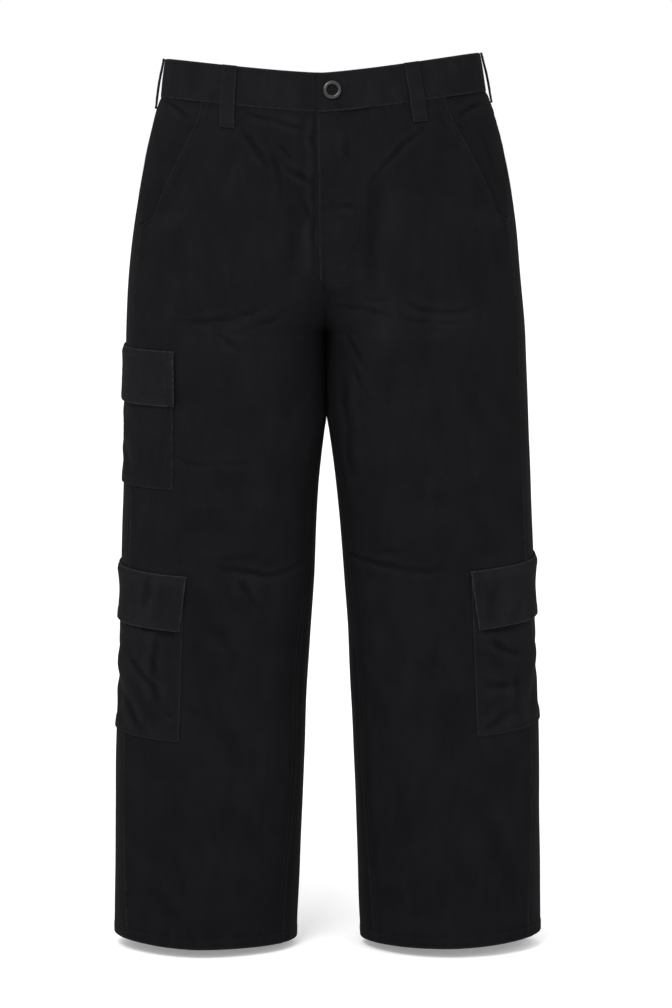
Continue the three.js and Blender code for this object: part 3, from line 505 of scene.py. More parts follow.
class Cloth:
    """Wall of cloth between an outer and an inner grid of points, remembered for stitching on it."""

    def __init__(self, name, outer, inner, across, along, wear):
        self.name = name
        self.outer = outer
        self.across = across
        self.along = along
        rows, columns = outer.shape[:2]
        count = rows * columns
        ids = np.arange(count).reshape(rows, columns)
        a, b, c, d = ids[:-1, :-1], ids[1:, :-1], ids[1:, 1:], ids[:-1, 1:]
        faces = [np.stack([a, b, c, d], -1).reshape(-1, 4)]
        faces.append(np.stack([a, d, c, b], -1).reshape(-1, 4) + count)
        rim = np.concatenate([ids[:, 0], ids[-1, 1:], ids[-2::-1, -1], ids[0, -2:0:-1]])
        after = np.roll(rim, -1)
        faces.append(np.stack([rim, rim + count, after + count, after], -1))
        points = np.concatenate([outer.reshape(-1, 3), inner.reshape(-1, 3)])
        quads = np.concatenate(faces)
        normal = self.normals()
        toward = (outer - inner).reshape(-1, 3)
        if (normal.reshape(-1, 3) * toward).sum() < 0:
            quads = quads[:, ::-1]
            self.turn = -1.0
        else:
            self.turn = 1.0
        uv = np.stack([across, along], -1).reshape(-1, 2) * MM
        uv = np.concatenate([uv, uv])
        wear = np.broadcast_to(wear, (rows, columns)).reshape(-1)
        # Painted light and shade of the whole piece, multiplied into its colour
        painted_shade = next((value for part, value in PIECE_PAINTED_LIGHT if part in name), PANEL_PAINTED_SHADE)
        # Height over the smoothed cloth, which the material turns into painted shade in creases and painted
        # highlight on their lips
        relief = self.relief().reshape(-1)
        self.item = mesh_object(name, points, quads, uv, {
            "wear": np.concatenate([wear, wear * 0.2]),
            "relief": np.concatenate([relief, relief * 0.2]),
            "painted_shade": np.full(2 * count, painted_shade),
        })
        self.area = float(np.linalg.norm(np.cross(outer[1:, :-1] - outer[:-1, :-1],
                                                  outer[:-1, 1:] - outer[:-1, :-1]), axis=-1).sum()) * 1e-6

    def normals(self):
        """Unit normals of the outer grid."""
        du = np.gradient(self.outer, axis=0)
        dv = np.gradient(self.outer, axis=1)
        n = np.cross(du, dv)
        return n / np.maximum(1e-9, np.linalg.norm(n, axis=-1, keepdims=True))

    def relief(self):
        """Height of each point over the cloth smoothed around it: hollows are below nought. The material
        darkens the cloth's colour by it in hollows, as painted shade, and lightens it on raised lips, as
        painted highlight.
        """
        soft = self.outer.copy()
        for _ in range(RELIEF_ROUNDS):
            for axis in (0, 1):
                last = soft.shape[axis] - 1
                before = np.take(soft, np.maximum(np.arange(last + 1) - 1, 0), axis=axis)
                after = np.take(soft, np.minimum(np.arange(last + 1) + 1, last), axis=axis)
                soft = (before + 2 * soft + after) / 4
        return ((self.outer - soft) * self.normals() * self.turn).sum(axis=-1)

    def on_grid(self, row, column):
        """Points and normals at fractional rows and columns."""
        rows, columns = self.outer.shape[:2]
        row = np.clip(row, 0, rows - 1.0001)
        column = np.clip(column, 0, columns - 1.0001)
        i = row.astype(int)
        j = column.astype(int)
        fr = (row - i)[:, None]
        fc = (column - j)[:, None]
        normal = self.normals() * self.turn

        def mix(grid):
            return ((grid[i, j] * (1 - fc) + grid[i, j + 1] * fc) * (1 - fr)
                    + (grid[i + 1, j] * (1 - fc) + grid[i + 1, j + 1] * fc) * fr)

        n = mix(normal)
        return mix(self.outer), n / np.linalg.norm(n, axis=-1, keepdims=True)

    def down(self, inset, first=True, top=None, foot=None):
        """Line down the piece at an inset from its first or last edge, between two levels."""
        rows = np.arange(self.outer.shape[0], dtype=float)
        if top is not None:
            keep = (self.along[:, 0] <= top) & (self.along[:, 0] >= foot)
            rows = rows[keep]
        columns = []
        for row in rows.astype(int):
            from_edge = np.abs(self.across[row] - self.across[row, 0 if first else -1])
            columns.append(index_at(from_edge, inset, first))
        return self.on_grid(rows, np.array(columns))

    def cross(self, inset, from_top=True, margin=0.0):
        """Line across the piece at an inset from its top or foot."""
        columns = np.arange(self.outer.shape[1], dtype=float)
        from_first = np.abs(self.across[0] - self.across[0, 0])
        keep = (from_first >= margin) & (from_first <= from_first[-1] - margin)
        columns = columns[keep]
        rows = []
        for column in columns.astype(int):
            from_edge = np.abs(self.along[:, column] - self.along[0 if from_top else -1, column])
            rows.append(index_at(from_edge, inset, from_top))
        return self.on_grid(np.array(rows), columns)

    def at(self, level, way):
        """Points at given levels and ways on a piece whose rows are levels."""
        level = np.asarray(level, dtype=float)
        way = np.asarray(way, dtype=float)
        rows = np.interp(-level, -self.along[:, 0], np.arange(self.outer.shape[0]))
        columns = np.zeros(level.shape)
        for k, row in enumerate(rows):
            i = int(min(row, self.outer.shape[0] - 1.001))
            here = self.across[i] + (self.across[i + 1] - self.across[i]) * (row - i)
            index = np.arange(len(here), dtype=float)
            if here[-1] < here[0]:
                columns[k] = np.interp(-way[k], -here, index)
            else:
                columns[k] = np.interp(way[k], here, index)
        return self.on_grid(rows, columns)


class Rows:
    """Collects the rows of points of a piece and makes its cloth."""

    def __init__(self):
        self.rows = []

    def add(self, outer, inner, across, along, wear):
        along, wear = (np.broadcast_to(value, across.shape) for value in (along, wear))
        self.rows.append((outer, inner, across, along, wear))

    def cloth(self, name):
        return Cloth("cloth_" + name, *(np.array(part) for part in zip(*self.rows)))


EDGE_STEPS = [0, 0.5, 1.0, 1.5, 2.1, 3.0, 4.4, 5.8, 6.6, 7.1, 7.6, 8.2, 9.0, 9.9, 11.2, 13.2, 16.0]


def ridge_band(inset, width, height, edge=0.5):
    """Raised strip from an edge inwards, as of folded layers under it."""
    return height * (1 - smooth(width - edge, width + edge, inset))


def groove(inset, place, depth=0.22, half=0.55):
    return -depth * bell(inset - place, half)


def pucker(inset, along, reach, height, seed):
    """Small uneven ripples that run out from a sewn line."""
    phase = 1.7 * seed
    wave = (np.sin(along / 2.1 + phase) + 0.8 * np.sin(along / 1.37 + 2.3 * phase)
            + 0.9 * np.sin(along / 3.6 + 0.7 * phase) * np.sin(along / 17.0 + phase))
    strength = 0.55 + 0.45 * np.sin(along / 41.0 + 3 * phase)
    return height * wave * strength * bell(inset, reach)


def places(size, count, fine):
    """Places over a size, at fine steps near both ends and evenly between."""
    fine = np.array(fine)
    middle = np.linspace(fine[-1], size - fine[-1], count + 2)[1:-1]
    return np.concatenate([fine, middle, size - fine[::-1]])


def rounded_edge(inset, depth):
    return -depth * bell(inset, 0.4)


def front_raise(side, level, way):
    ring = ring_at(level)
    rise = np.zeros(way.shape)
    if side > 0 and not ring["closed"]:
        in_fly = smooth(FLY_END - 16, FLY_END - 2, level)
        rise += FLY_LAP_RAISE * in_fly * smooth(ring["front_way"] - FLY_WIDTH, ring["front_way"] - 5, way)
    if level > MOUTH_END:
        opened = smooth(BAND_BOTTOM, BAND_BOTTOM - 40, level) * smooth(MOUTH_END, MOUTH_END + 40, level)
        rise += 1.4 * opened * bell(way - mouth_way(level), 14)
    return rise


def fly_edge(side, level):
    ring = ring_at(level)
    if side < 0 or ring["closed"]:
        return ring["front_way"]
    return ring["front_way"] + LAP_REACH * float(smooth(FLY_END - 3, FLY_END, level))


# Insets of the lines of stitching from the edges of the pieces
MOUTH_LINES = (1.6, 7.9)
FELL_LINES = (1.8, 7.6)
PATCH_LINES = (1.7, 7.6)
HEM_LINE = HEM_FOLD - 1.6
FLY_LINE = 2.0
BAND_LINE = 2.3
LOOP_LINE = 2.5
TOP_STEPS = [0, 0.6, 1.4, 2.4, 3.6, 5.2, 7.2, 9.6]
HEM_STEPS = [0, 0.5, 1.0, 1.6, 2.4, 3.6, 5.4, 7.4, 9.4, 10.6, 11.2, 11.7, 12.2, 12.8, 13.5, 14.6, 16.4]
BAND_END_LINE = 2.4
WEAR_REACH = 1.3
EDGE_ROUND = 0.42
PANEL_TOP = -16.4
ROW_STEP = 3.15
FRONT_COLUMNS = 70
BACK_COLUMNS = 40


def panel_levels():
    first = PANEL_TOP - np.array(TOP_STEPS)
    last = HEM + np.array(HEM_STEPS[::-1])
    count = int(round((first[-1] - last[0]) / ROW_STEP))
    return np.concatenate([first[:-1], np.linspace(first[-1], last[0], count), last[1:]])


def hem_relief(level, way, seed):
    """Turned hem: a step up, its groove of stitching, and slanting ripples between."""
    up = level - HEM
    step = 0.55 * (1 - smooth(HEM_FOLD - 0.7, HEM_FOLD + 0.7, up))
    roping = 0.22 * np.sin((way + 0.8 * up) / 1.9 + seed) * bell(up - 6, 4.5)
    roping *= 0.6 + 0.4 * np.sin(way / 23 + seed)
    above = 0.3 * np.sin(way / 3.1 + 1.3 * seed) * np.sin(way / 11 + seed)
    above *= bell(up - HEM_FOLD - 3, 4)
    return step + roping + above + groove(up, HEM_LINE, 0.3, 0.7) - 0.4 * bell(up, 0.5)


def seam_relief(inset, level, seed, felled):
    """Sewn edge of a panel: a felled step on one side of the seam, puckers on both."""
    relief = rounded_edge(inset, 0.5) + pucker(inset, level, 9, 0.16, seed)
    if felled:
        relief += ridge_band(inset, 9, 0.5) + groove(inset, FELL_LINES[0]) + groove(inset, FELL_LINES[1])
    return relief


def build_panel(name, side, edges, coarse, fine, wear, between):
    """Panel between two edges, with its coarse and fine form and its wear given by functions."""
    rows = Rows()
    for level in panel_levels():
        first, last = edges(level)
        inset = places(abs(last - first), between, EDGE_STEPS)
        way = first + np.sign(last - first) * inset
        base = coarse(level, way)
        detail = fine(level, way, inset, inset[-1] - inset)
        rows.add(row_points(side, level, way, base + detail), row_points(side, level, way, base - CLOTH),
                 way, level, wear(level, inset, inset[-1] - inset))
    return rows.cloth(name)


def edge_wear(inset):
    return bell(inset, WEAR_REACH)


def hem_wear(level):
    return bell(level - HEM, 1.6)


def sided(part, side):
    return part + ("_left" if side > 0 else "_right")


def front_edges(side):
    def edges(level):
        ring = ring_at(level)
        first = mouth_way(level) if level > MOUTH_END - 1 else side_seam(level) + SEAM_GAP / 2
        if level > CROTCH:
            return first, fly_edge(side, level)
        return first, ring["front_way"] - float(INSEAM.read("reach", level)) - SEAM_GAP / 2
    return edges


def back_edges(level):
    ring = ring_at(level)
    first = side_seam(level) - SEAM_GAP / 2
    if level > CROTCH:
        return first, -ring["back_way"]
    return first, -ring["back_way"] - float(INSEAM.read("reach", level)) + SEAM_GAP / 2


def make_front(side):
    def fine(level, way, from_first, from_last):
        relief = hem_relief(level, way, 1.1 * side)
        if level > MOUTH_END - 1:
            relief += rounded_edge(from_first, 0.5) + ridge_band(from_first, 9.5, 0.45)
            relief += groove(from_first, MOUTH_LINES[0]) + groove(from_first, MOUTH_LINES[1])
            relief += pucker(from_first, level, 12, 0.14, 2 + side)
        else:
            relief += seam_relief(from_first, level, 3 + side, False)
        if level > CROTCH:
            in_fly = smooth(FLY_END - 3, FLY_END + 3, level)
            relief += rounded_edge(from_last, 0.5) + pucker(from_last, level, 10, 0.18, 4 + side)
            if side > 0:
                relief += groove(from_last, FLY_LINE, 0.16) * (1 - in_fly)
        else:
            relief += seam_relief(from_last, level, 5 + side, True)
        relief += pucker(np.full(way.shape, PANEL_TOP - level), way, 12, 0.22, 6 + side)
        return relief

    def wear(level, from_first, from_last):
        worn = 0.7 * edge_wear(from_first) + 0.55 * edge_wear(from_last)
        return worn + hem_wear(level)

    return build_panel(sided("front", side), side, front_edges(side),
                       lambda level, way: front_raise(side, level, way), fine, wear, FRONT_COLUMNS)


def make_back(side):
    def fine(level, way, from_first, from_last):
        relief = hem_relief(level, way, 2.3 * side)
        relief += seam_relief(from_first, level, 7 + side, level < -20)
        above = level > CROTCH
        relief += seam_relief(from_last, level, (9 if above else 8) + side, above and side > 0)
        relief += pucker(np.full(way.shape, PANEL_TOP - level), way, 12, 0.2, 10 + side)
        return relief

    def wear(level, from_first, from_last):
        worn = 0.8 * edge_wear(from_first) + 0.5 * edge_wear(from_last)
        return worn + hem_wear(level)

    return build_panel(sided("back", side), side, back_edges,
                       lambda level, way: np.zeros(way.shape), fine, wear, BACK_COLUMNS)


def make_facing(side):
    """Strip that shows behind a pocket mouth and runs on under the front."""
    rows = Rows()
    for level in panel_levels():
        if level < FACING_END:
            break
        below = level <= MOUTH_END
        seam = side_seam(level) + (2.0 if level < MOUTH_END else SEAM_GAP / 2)
        mouth = seam if below else mouth_way(level)
        last = mouth + FACING_UNDERLAP
        way = seam + (last - seam) * np.linspace(0, 1, 40)
        tucked = float(smooth(MOUTH_END + 6, MOUTH_END + 2, level))
        sunk = np.ones(way.shape) if below else smooth(seam, max(seam + 4, mouth - 3), way)
        sunk = sunk + (1 - sunk) * tucked
        sink = (CLOTH + 0.5 + (0.5 if below else 0)) * sunk
        detail = pucker(way - seam, level, 8, 0.15, 12 + side) + rounded_edge(way - seam, 0.4)
        rows.add(row_points(side, level, way, detail - sink), row_points(side, level, way, -sink - CLOTH),
                 way, level, 0.0)
    return rows.cloth(sided("hip_facing", side))


# Waistband, from the lap round the back to the underlap

BAND_STEPS = [0, 0.25, 0.6, 1.1, 1.7, 2.2, 2.7, 3.3, 4.5, 7.5, 12]
BAND_THICK = 2.5


def band_stations():
    ring = ring_at(BAND_BOTTOM)
    lap = LAP_REACH / ring["front_way"]
    under = UNDERLAP_REACH / ring["front_way"]
    fine = np.array([0, 0.35, 0.8, 1.4, 2.2, 3.2, 5.0]) / ring["front_way"]
    left = np.concatenate([1 + lap - fine, np.linspace(1 + lap - fine[-1], 0, 90)[1:],
                           np.linspace(0, -1, 90)[1:]])
    right = np.concatenate([np.linspace(-1, 0, 90)[1:], np.linspace(0, 1 + under, 100)[1:]])
    return left, right


def band_rise(side, share):
    ring = ring_at(BAND_BOTTOM)
    from_middle = (1 - share) * ring["front_way"]
    rise = BAND_LAP_RAISE * (1 - smooth(UNDERLAP_REACH + 6, UNDERLAP_REACH + 40, from_middle))
    return np.where((side > 0) & (share >= 0), rise, 0.0)


def band_profile(inset, side_inset):
    nearest = np.minimum(inset, side_inset)
    return (0.75 - 1.5 * bell(nearest, EDGE_ROUND)
            - 0.26 * bell(nearest - BAND_LINE, 0.6)
            + 0.35 * smooth(3, 12, nearest))


def make_band():
    height = BAND_TOP - BAND_BOTTOM + 0.9
    down = np.array(BAND_STEPS + [height / 2] + [height - s for s in reversed(BAND_STEPS)])
    left, right = band_stations()
    ring = ring_at(BAND_BOTTOM)
    rows = Rows()
    for inset in down:
        level = BAND_TOP - inset
        row = ring_at(level)
        from_edge = min(inset, height - inset)
        parts_out, parts_in, place = [], [], []
        for side, shares in ((1, left), (-1, right)):
            way = np.where(shares >= 0, shares * row["front_way"], shares * row["back_way"])
            from_end = (shares[0 if side > 0 else -1] - shares) * ring["front_way"]
            run = side * way + (0 if side > 0 else -2 * row["back_way"])
            rise = band_rise(side, shares)
            waver = (0.28 * np.sin(run / 9.0) * np.sin(run / 31.0 + 1)
                     + 0.2 * np.sin(run / 4.1 + inset / 9.0))
            waver *= 0.55 * float(smooth(0, 6, from_edge))
            ripple = 0.13 * np.sin(run / 1.9 + inset / 5.0) * bell(from_edge - 4.5, 3.2)
            detail = band_profile(from_edge, from_end) + waver + ripple
            parts_out.append(row_points(side, level, way, rise + detail))
            parts_in.append(row_points(side, level, way, rise + 0.75 - BAND_THICK
                                       + 0.5 * bell(from_edge, EDGE_ROUND)))
            place.append(run)
        rows.add(np.concatenate(parts_out), np.concatenate(parts_in), np.concatenate(place), level,
                 bell(from_edge - 0.3, 1.0))
    return rows.cloth("waistband")


LOOP_WIDTH = 16.2
LOOP_WALL = 1.7
LAYER_GAP = 0.5
# Belt loops: name, side, where on the band, lean to its foot, stand off the band, level of the foot
LOOPS = [
    ("loop_front_right", -1, 97.4, 4.8, 1.6, -44),
    ("loop_front_left", 1, 93.7, 8.5, 1.6, -41),
    ("loop_side_right", -1, "side", 0, 2.6, -31),
    ("loop_side_left", 1, "side", 0, 2.6, -31),
    ("loop_back", 1, "back", 0, 1.6, -36),
]


def make_loop(name, side, at, lean, stand, foot):
    top = BAND_TOP + 0.4
    length = top - foot
    down = np.concatenate([[0, 0.4, 0.9, 1.6, 2.6], np.linspace(4, length - 4, 34),
                           length - np.array([2.6, 1.6, 0.9, 0.4, 0])])
    inset = np.array([0, 0.3, 0.7, 1.2, 1.9, 2.5, 3.1, 4.2, 6.0, 8.1])
    columns = np.concatenate([inset, LOOP_WIDTH - inset[-2::-1]])
    from_edge = np.minimum(columns, LOOP_WIDTH - columns)
    rows = Rows()
    for s in down:
        t = s / length
        level = top - s
        if at == "side":
            centre = side_seam(level) - 1
        elif at == "back":
            centre = -ring_at(level)["back_way"]
        else:
            centre = way_at_x(level, at + lean * t)
        bulge = math.sin(math.pi * t ** 1.5)
        in_band = float(smooth(BAND_BOTTOM - 9, BAND_BOTTOM + 1, level))
        off = LAYER_GAP + 0.9 * in_band + stand * max(0.0, bulge) ** 0.8
        end = min(s, length - s)
        edge = np.minimum(from_edge, end + 0.15)
        skin = (0.25 - 1.1 * bell(edge, EDGE_ROUND)
                - 0.25 * bell(from_edge - LOOP_LINE, 0.55))
        skin += 0.12 * np.sin(s / 1.7 + columns / 3.0) * np.sin(s / 7.0 + side)
        tack = 0.35 * (bell(s - 5.0, 1.6) + bell(length - s - 4.0, 1.6))
        way = centre + columns - LOOP_WIDTH / 2
        rows.add(row_points(side, level, way, off + LOOP_WALL + skin - tack),
                 row_points(side, level, way, np.full(way.shape, off)), way, level,
                 0.8 * bell(from_edge, 0.8) + 0.5 * bell(end, 1.0))
    return rows.cloth(name)


# Cargo pockets

POCKET_LIFT = 0.55
BAG_FOLDS = {
    "pocket_upper_right": [
        ((168, -362), (150, -369), (128, -372), -0.9, 4, 0.6),
        ((171, -432), (160, -418), (146, -404), -0.9, 5, 0.7),
        ((175, -466), (190, -452), (205, -440), -1.0, 5, 0.6),
        ((158, -395), (170, -402), (186, -404), 0.5, 8, 0.5),
    ],
    "pocket_lower_right": [
        ((202, -592), (182, -597), (160, -604), -2.4, 4.4, 0.1),
        ((229, -652), (214, -684), (198, -714), -2.0, 3.8, 0.8),
        ((184, -604), (187, -628), (184, -652), -1.6, 3.6, 0.6),
        ((208, -635), (192, -654), (183, -676), -1.9, 4.0, 0.7),
        ((216, -628), (211, -631), (205, -634), -1.2, 2.4, 0.6),
        ((172, -686), (167, -689), (162, -692), -1.0, 2.6, 0.5),
    ],
    "pocket_lower_left": [
        ((168, -594), (190, -593), (214, -592), -2.2, 4.4, 0.1),
        ((182, -606), (196, -617), (216, -622), -1.6, 3.6, 0.7),
        ((172, -652), (188, -658), (214, -652), -1.3, 4.0, 0.6),
        ((168, -712), (184, -698), (206, -682), -1.5, 5.0, 0.7),
        ((186, -738), (198, -716), (219, -704), -1.2, 5.0, 0.6),
        ((206, -640), (211, -668), (208, -696), -1.1, 5.0, 0.5),
    ],
}
BAG_BACK_FOLDS = [
    ((0.62, 0.18), (0.70, 0.42), (0.82, 0.60), -1.8, 0.055, 0.8),
    ((0.52, 0.88), (0.64, 0.72), (0.84, 0.62), -2.0, 0.060, 0.8),
    ((0.70, 0.92), (0.78, 0.84), (0.93, 0.80), -1.2, 0.045, 0.8),
]
FLAP_FOLDS = {
    "pocket_upper_right": [((176, -345), (160, -330), (150, -306), -0.6, 5, 0.6)],
    "pocket_lower_right": [((188, -528), (192, -547), (198, -568), -1.2, 4.2, 0.8)],
    "pocket_lower_left": [((176, -588), (180, -572), (181, -552), -0.9, 4.5, 0.6),
                          ((200, -598), (205, -582), (214, -566), -0.7, 5, 0.6)],
}


def local_folds(side, points, table):
    """Depth of a table of creases given by distance from the middle and height."""
    u = side * points[:, 0]
    depth = np.zeros(u.shape)
    for fold in table:
        depth += crease(u, points[:, 2], *fold)
    return depth * smooth(20, -10, points[:, 1])


def on_pocket(pocket, box, u, v):
    """Level and way of a place on a patch, whose box is its top, foot, front, back and flare."""
    top, foot, front, back, flare = box
    level = top + (foot - top) * v + pocket["slope"] * (u - 0.5) * min(1, 2 * v + 1)
    widen = 2 * flare * v
    seam = SIDE_SEAM.read("reach", level)
    return level, seam + front + widen + (back - front - widen) * u


def bag_fullness(pocket, u, v):
    across = np.abs(np.sin(np.pi * u)) ** 0.6
    down = np.maximum(0, np.sin(np.pi * np.clip(v, 0, 1) ** 1.25)) ** 0.7
    return pocket["fullness"] * across * down


PATCH_STEPS = [0, 0.35, 0.8, 1.4, 2.0, 2.8, 4.2, 5.8, 6.8, 7.6, 8.4, 9.6]


def patch_skin(near):
    """Turned edge of a patch with the grooves of the two lines of stitching round it."""
    skin = -0.9 * bell(near, EDGE_ROUND) + ridge_band(near, 10, 0.3, 1.0)
    for line in PATCH_LINES:
        skin += groove(near, line, 0.25)
    return skin


def make_bag(pocket):
    side = pocket["side"]
    box = [pocket[key] for key in ("bag_top", "bag_foot", "front", "back", "flare")]
    deep = box[0] - box[1]
    wide = box[2] - box[3]
    down = places(deep, 48, PATCH_STEPS)
    right = places(wide, 40, PATCH_STEPS)
    seed = 2.0 + len(pocket["name"]) + pocket["flap_top"] / 90
    rows = Rows()
    for s in down:
        u = right / wide
        v = s / deep
        level, way = on_pocket(pocket, box, u, v)
        base = POCKET_LIFT + bag_fullness(pocket, u, v)
        plain = surface(side, level, way, base + CLOTH)
        from_side = np.minimum(right, wide - right)
        from_foot = np.full(right.shape, deep - s)
        near = np.minimum(from_side, from_foot)
        skin = patch_skin(near)
        runs = np.where(from_side < from_foot, s, right)
        skin += pucker(near - 8, runs, 6, 0.16, seed) * smooth(0, 9, near)
        skin += local_folds(side, plain, BAG_FOLDS[pocket["name"]]) * smooth(1, 12, near)
        for fold in BAG_BACK_FOLDS:
            skin += crease(u, np.full(u.shape, v), *fold) * smooth(1, 12, near)
        rows.add(surface(side, level, way, base + CLOTH + skin), surface(side, level, way, base),
                 way, level, 0.75 * bell(near, 1.1))
    return rows.cloth(pocket["name"] + "_bag")


def make_flap(pocket):
    side = pocket["side"]
    box = [pocket["flap_top"], pocket["flap_foot"], pocket["flap_front"],
           pocket["back"] - FLAP_BEYOND, -pocket["draw"] / 2]
    tall = box[0] - box[1]
    wide = box[2] - box[3]
    bag_depth = pocket["bag_top"] - pocket["bag_foot"]
    down = places(tall, 16, PATCH_STEPS)
    right = places(wide, 40, PATCH_STEPS)
    seed = 5.0 + len(pocket["name"]) + pocket["flap_top"] / 70
    rows = Rows()
    for s in down:
        u = right / wide
        v = s / tall
        level, way = on_pocket(pocket, box, u, v)
        bag_v = (pocket["bag_top"] - level) / bag_depth
        over = (CLOTH + 1.0) * float(smooth(0, 9, s))
        stand = FLAP_STAND * v * v * (0.4 + 0.6 * np.sin(np.pi * u))
        base = POCKET_LIFT + over + bag_fullness(pocket, u, np.clip(bag_v, 0, 1)) + stand
        plain = surface(side, level, way, base + CLOTH)
        from_side = np.minimum(right, wide - right)
        from_top = np.full(right.shape, s)
        from_foot = np.full(right.shape, tall - s)
        near = np.minimum(np.minimum(from_side, from_foot), from_top)
        skin = patch_skin(near) + 0.35
        runs = np.where(from_side < np.minimum(from_foot, from_top), s, right)
        skin += pucker(near - 5, runs, 5, 0.16, seed) * smooth(0, 5, near)
        skin += local_folds(side, plain, FLAP_FOLDS[pocket["name"]]) * smooth(1, 10, near)
        rows.add(surface(side, level, way, base + CLOTH + skin), surface(side, level, way, base),
                 way, level, bell(near - 0.4, 1.1))
    return rows.cloth(pocket["name"] + "_flap")


# Stitching

class Thread:
    """Collects stitches that lie on a piece."""

    def __init__(self, name):
        self.name = name
        self.points = []
        self.quads = []
        self.count = 0

    def add(self, centre, tangent, normal, length, width, height):
        side = np.cross(tangent, normal)
        side /= np.linalg.norm(side, axis=-1, keepdims=True)
        around = np.linspace(0, 2 * np.pi, 6, endpoint=False)
        rings = [(-0.5, 0.25, -0.25), (-0.36, 0.8, 0.05), (0, 1.0, 0.2),
                 (0.36, 0.8, 0.05), (0.5, 0.25, -0.25)]
        grid = []
        for place, size, lift in rings:
            for a in around:
                grid.append(centre + tangent * (place * length) + side * (math.cos(a) * size * width / 2)
                            + normal * ((math.sin(a) * size * 0.5 + lift) * height))
        grid = np.stack(grid, 1)
        n = len(centre)
        faces = []
        for r in range(len(rings) - 1):
            for k in range(6):
                m = (k + 1) % 6
                faces.append([r * 6 + k, r * 6 + m, (r + 1) * 6 + m, (r + 1) * 6 + k])
        faces += [[0, 5, 4, 1], [1, 4, 3, 2]]
        top = (len(rings) - 1) * 6
        faces += [[top, top + 1, top + 4, top + 5], [top + 1, top + 2, top + 3, top + 4]]
        faces = np.array(faces)
        each = len(rings) * 6
        self.points.append(grid.reshape(-1, 3))
        starts = self.count + np.arange(n) * each
        self.quads.append((faces[None] + starts[:, None, None]).reshape(-1, 4))
        self.count += n * each

    def line(self, path, pitch=3.0, length=2.35, width=0.62, height=0.42):
        points, normals = path
        step = np.linalg.norm(np.diff(points, axis=0), axis=1)
        distance = np.concatenate([[0], np.cumsum(step)])
        count = int(distance[-1] // pitch)
        if count < 1:
            return
        centres = (np.arange(count) + 0.5) * distance[-1] / count

        def read(grid, at):
            return np.stack([np.interp(at, distance, grid[:, k]) for k in range(3)], -1)

        tangent = read(points, centres + 0.4 * length) - read(points, centres - 0.4 * length)
        tangent /= np.linalg.norm(tangent, axis=-1, keepdims=True)
        normal = read(normals, centres)
        normal -= tangent * (normal * tangent).sum(-1, keepdims=True)
        normal /= np.linalg.norm(normal, axis=-1, keepdims=True)
        self.add(read(points, centres), tangent, normal, length, width, height)

    def tack(self, start, end, normal, width=2.3, pitch=0.6):
        """Bar of close stitches across the line from start to end."""
        start, end, normal = (np.asarray(v, dtype=float) for v in (start, end, normal))
        run = end - start
        length = np.linalg.norm(run)
        run /= length
        normal = normal - run * (normal @ run)
        normal /= np.linalg.norm(normal)
        cross = np.cross(run, normal)
        count = max(3, int(length / pitch))
        t = (np.arange(count) + 0.5) / count
        centre = start + run * (t * length)[:, None] + normal * 0.12
        ones = np.ones((count, 1))
        self.add(centre, cross * ones, normal * ones, width, 0.66, 0.6)

    def build(self):
        points = np.concatenate(self.points)
        return mesh_object(self.name, points, np.concatenate(self.quads))


def front_place(side, across, height):
    """Level and way of the point of a front at a distance from the middle and a height."""
    level = height
    x = across
    for _ in range(8):
        way = way_at_x(level, x)
        point = row_points(side, level, np.array([way]), np.array([0.0]))[0]
        level += height - point[2]
        x += across - side * point[0]
    return level, way_at_x(level, x)


def front_line(cloth, side, corners, count=60):
    """Line on a front through points given by distance from the middle and height."""
    corners = np.array([front_place(side, *c) for c in corners])
    step = np.concatenate([[0], np.cumsum(np.hypot(*np.diff(corners, axis=0).T))])
    at = np.linspace(0, step[-1], count)
    order = np.arange(len(corners))
    places_on = np.interp(at, step, order)
    level, way = (np.interp(places_on, order, corners[:, k]) for k in range(2))
    return cloth.at(level, way)


def tack_on(thread, cloth, rows, columns, width=2.3):
    points, normals = cloth.on_grid(np.array(rows, dtype=float), np.array(columns, dtype=float))
    thread.tack(points[0], points[1], normals[0], width)


def tack_level(thread, cloth, levels, ways, width=2.3):
    points, normals = cloth.at(np.array(levels, dtype=float), np.array(ways, dtype=float))
    thread.tack(points[0], points[1], normals[0], width)


fronts = {side: make_front(side) for side in (1, -1)}
backs = {side: make_back(side) for side in (1, -1)}
facings = {side: make_facing(side) for side in (1, -1)}
band = make_band()
loops = {row[0]: make_loop(*row) for row in LOOPS}
bags = {pocket["name"]: make_bag(pocket) for pocket in POCKETS}
flaps = {pocket["name"]: make_flap(pocket) for pocket in POCKETS}

threads = {}


def thread_on(name):
    threads[name] = threads.get(name, Thread("stitching_" + name))
    return threads[name]


# The fly's two curved lines, by distance from the middle and height
FLY_TURN = [tuple(point) for point in bend_points((41.5, -150), (36, -180), (19, -195), 14)]
FLY_CURVE = [(43, -37), (42.6, -80), (42, -136)] + FLY_TURN + [(4, -201)]
FLY_INNER_CURVE = [(x - 6.0 if x > 30 else x - 3.0, z if z > -140 else z + 5.0)
                   for x, z in FLY_CURVE[:-1]]
FLY_TACK = ((12, -216.5), (26, -216.5))
FLY_SPLIT = FLY_END - 8
SEAM_TOP = -20

for side, front in fronts.items():
    thread = thread_on(sided("front", side))
    for line in MOUTH_LINES:
        thread.line(front.down(line, True, SEAM_TOP, MOUTH_END))
    thread.line(front.cross(HEM_LINE, False))
    for line in FELL_LINES:
        thread.line(front.down(line, False, CROTCH, HEM))
    mouth = mouth_way(MOUTH_END)
    tack_level(thread, front, (MOUTH_END + 3, MOUTH_END + 3), (mouth + 0.5, mouth + 9.0))

left = fronts[1]
thread = thread_on("front_left")
for curve in (FLY_CURVE, FLY_INNER_CURVE):
    thread.line(front_line(left, 1, curve))
thread.line(left.down(FLY_LINE, False, SEAM_TOP, FLY_END))
for line in (FLY_LINE, FELL_LINES[1]):
    thread.line(left.down(line, False, FLY_SPLIT, CROTCH))
tack_level(thread, left, *zip(*[front_place(1, *place) for place in FLY_TACK]), 2.6)

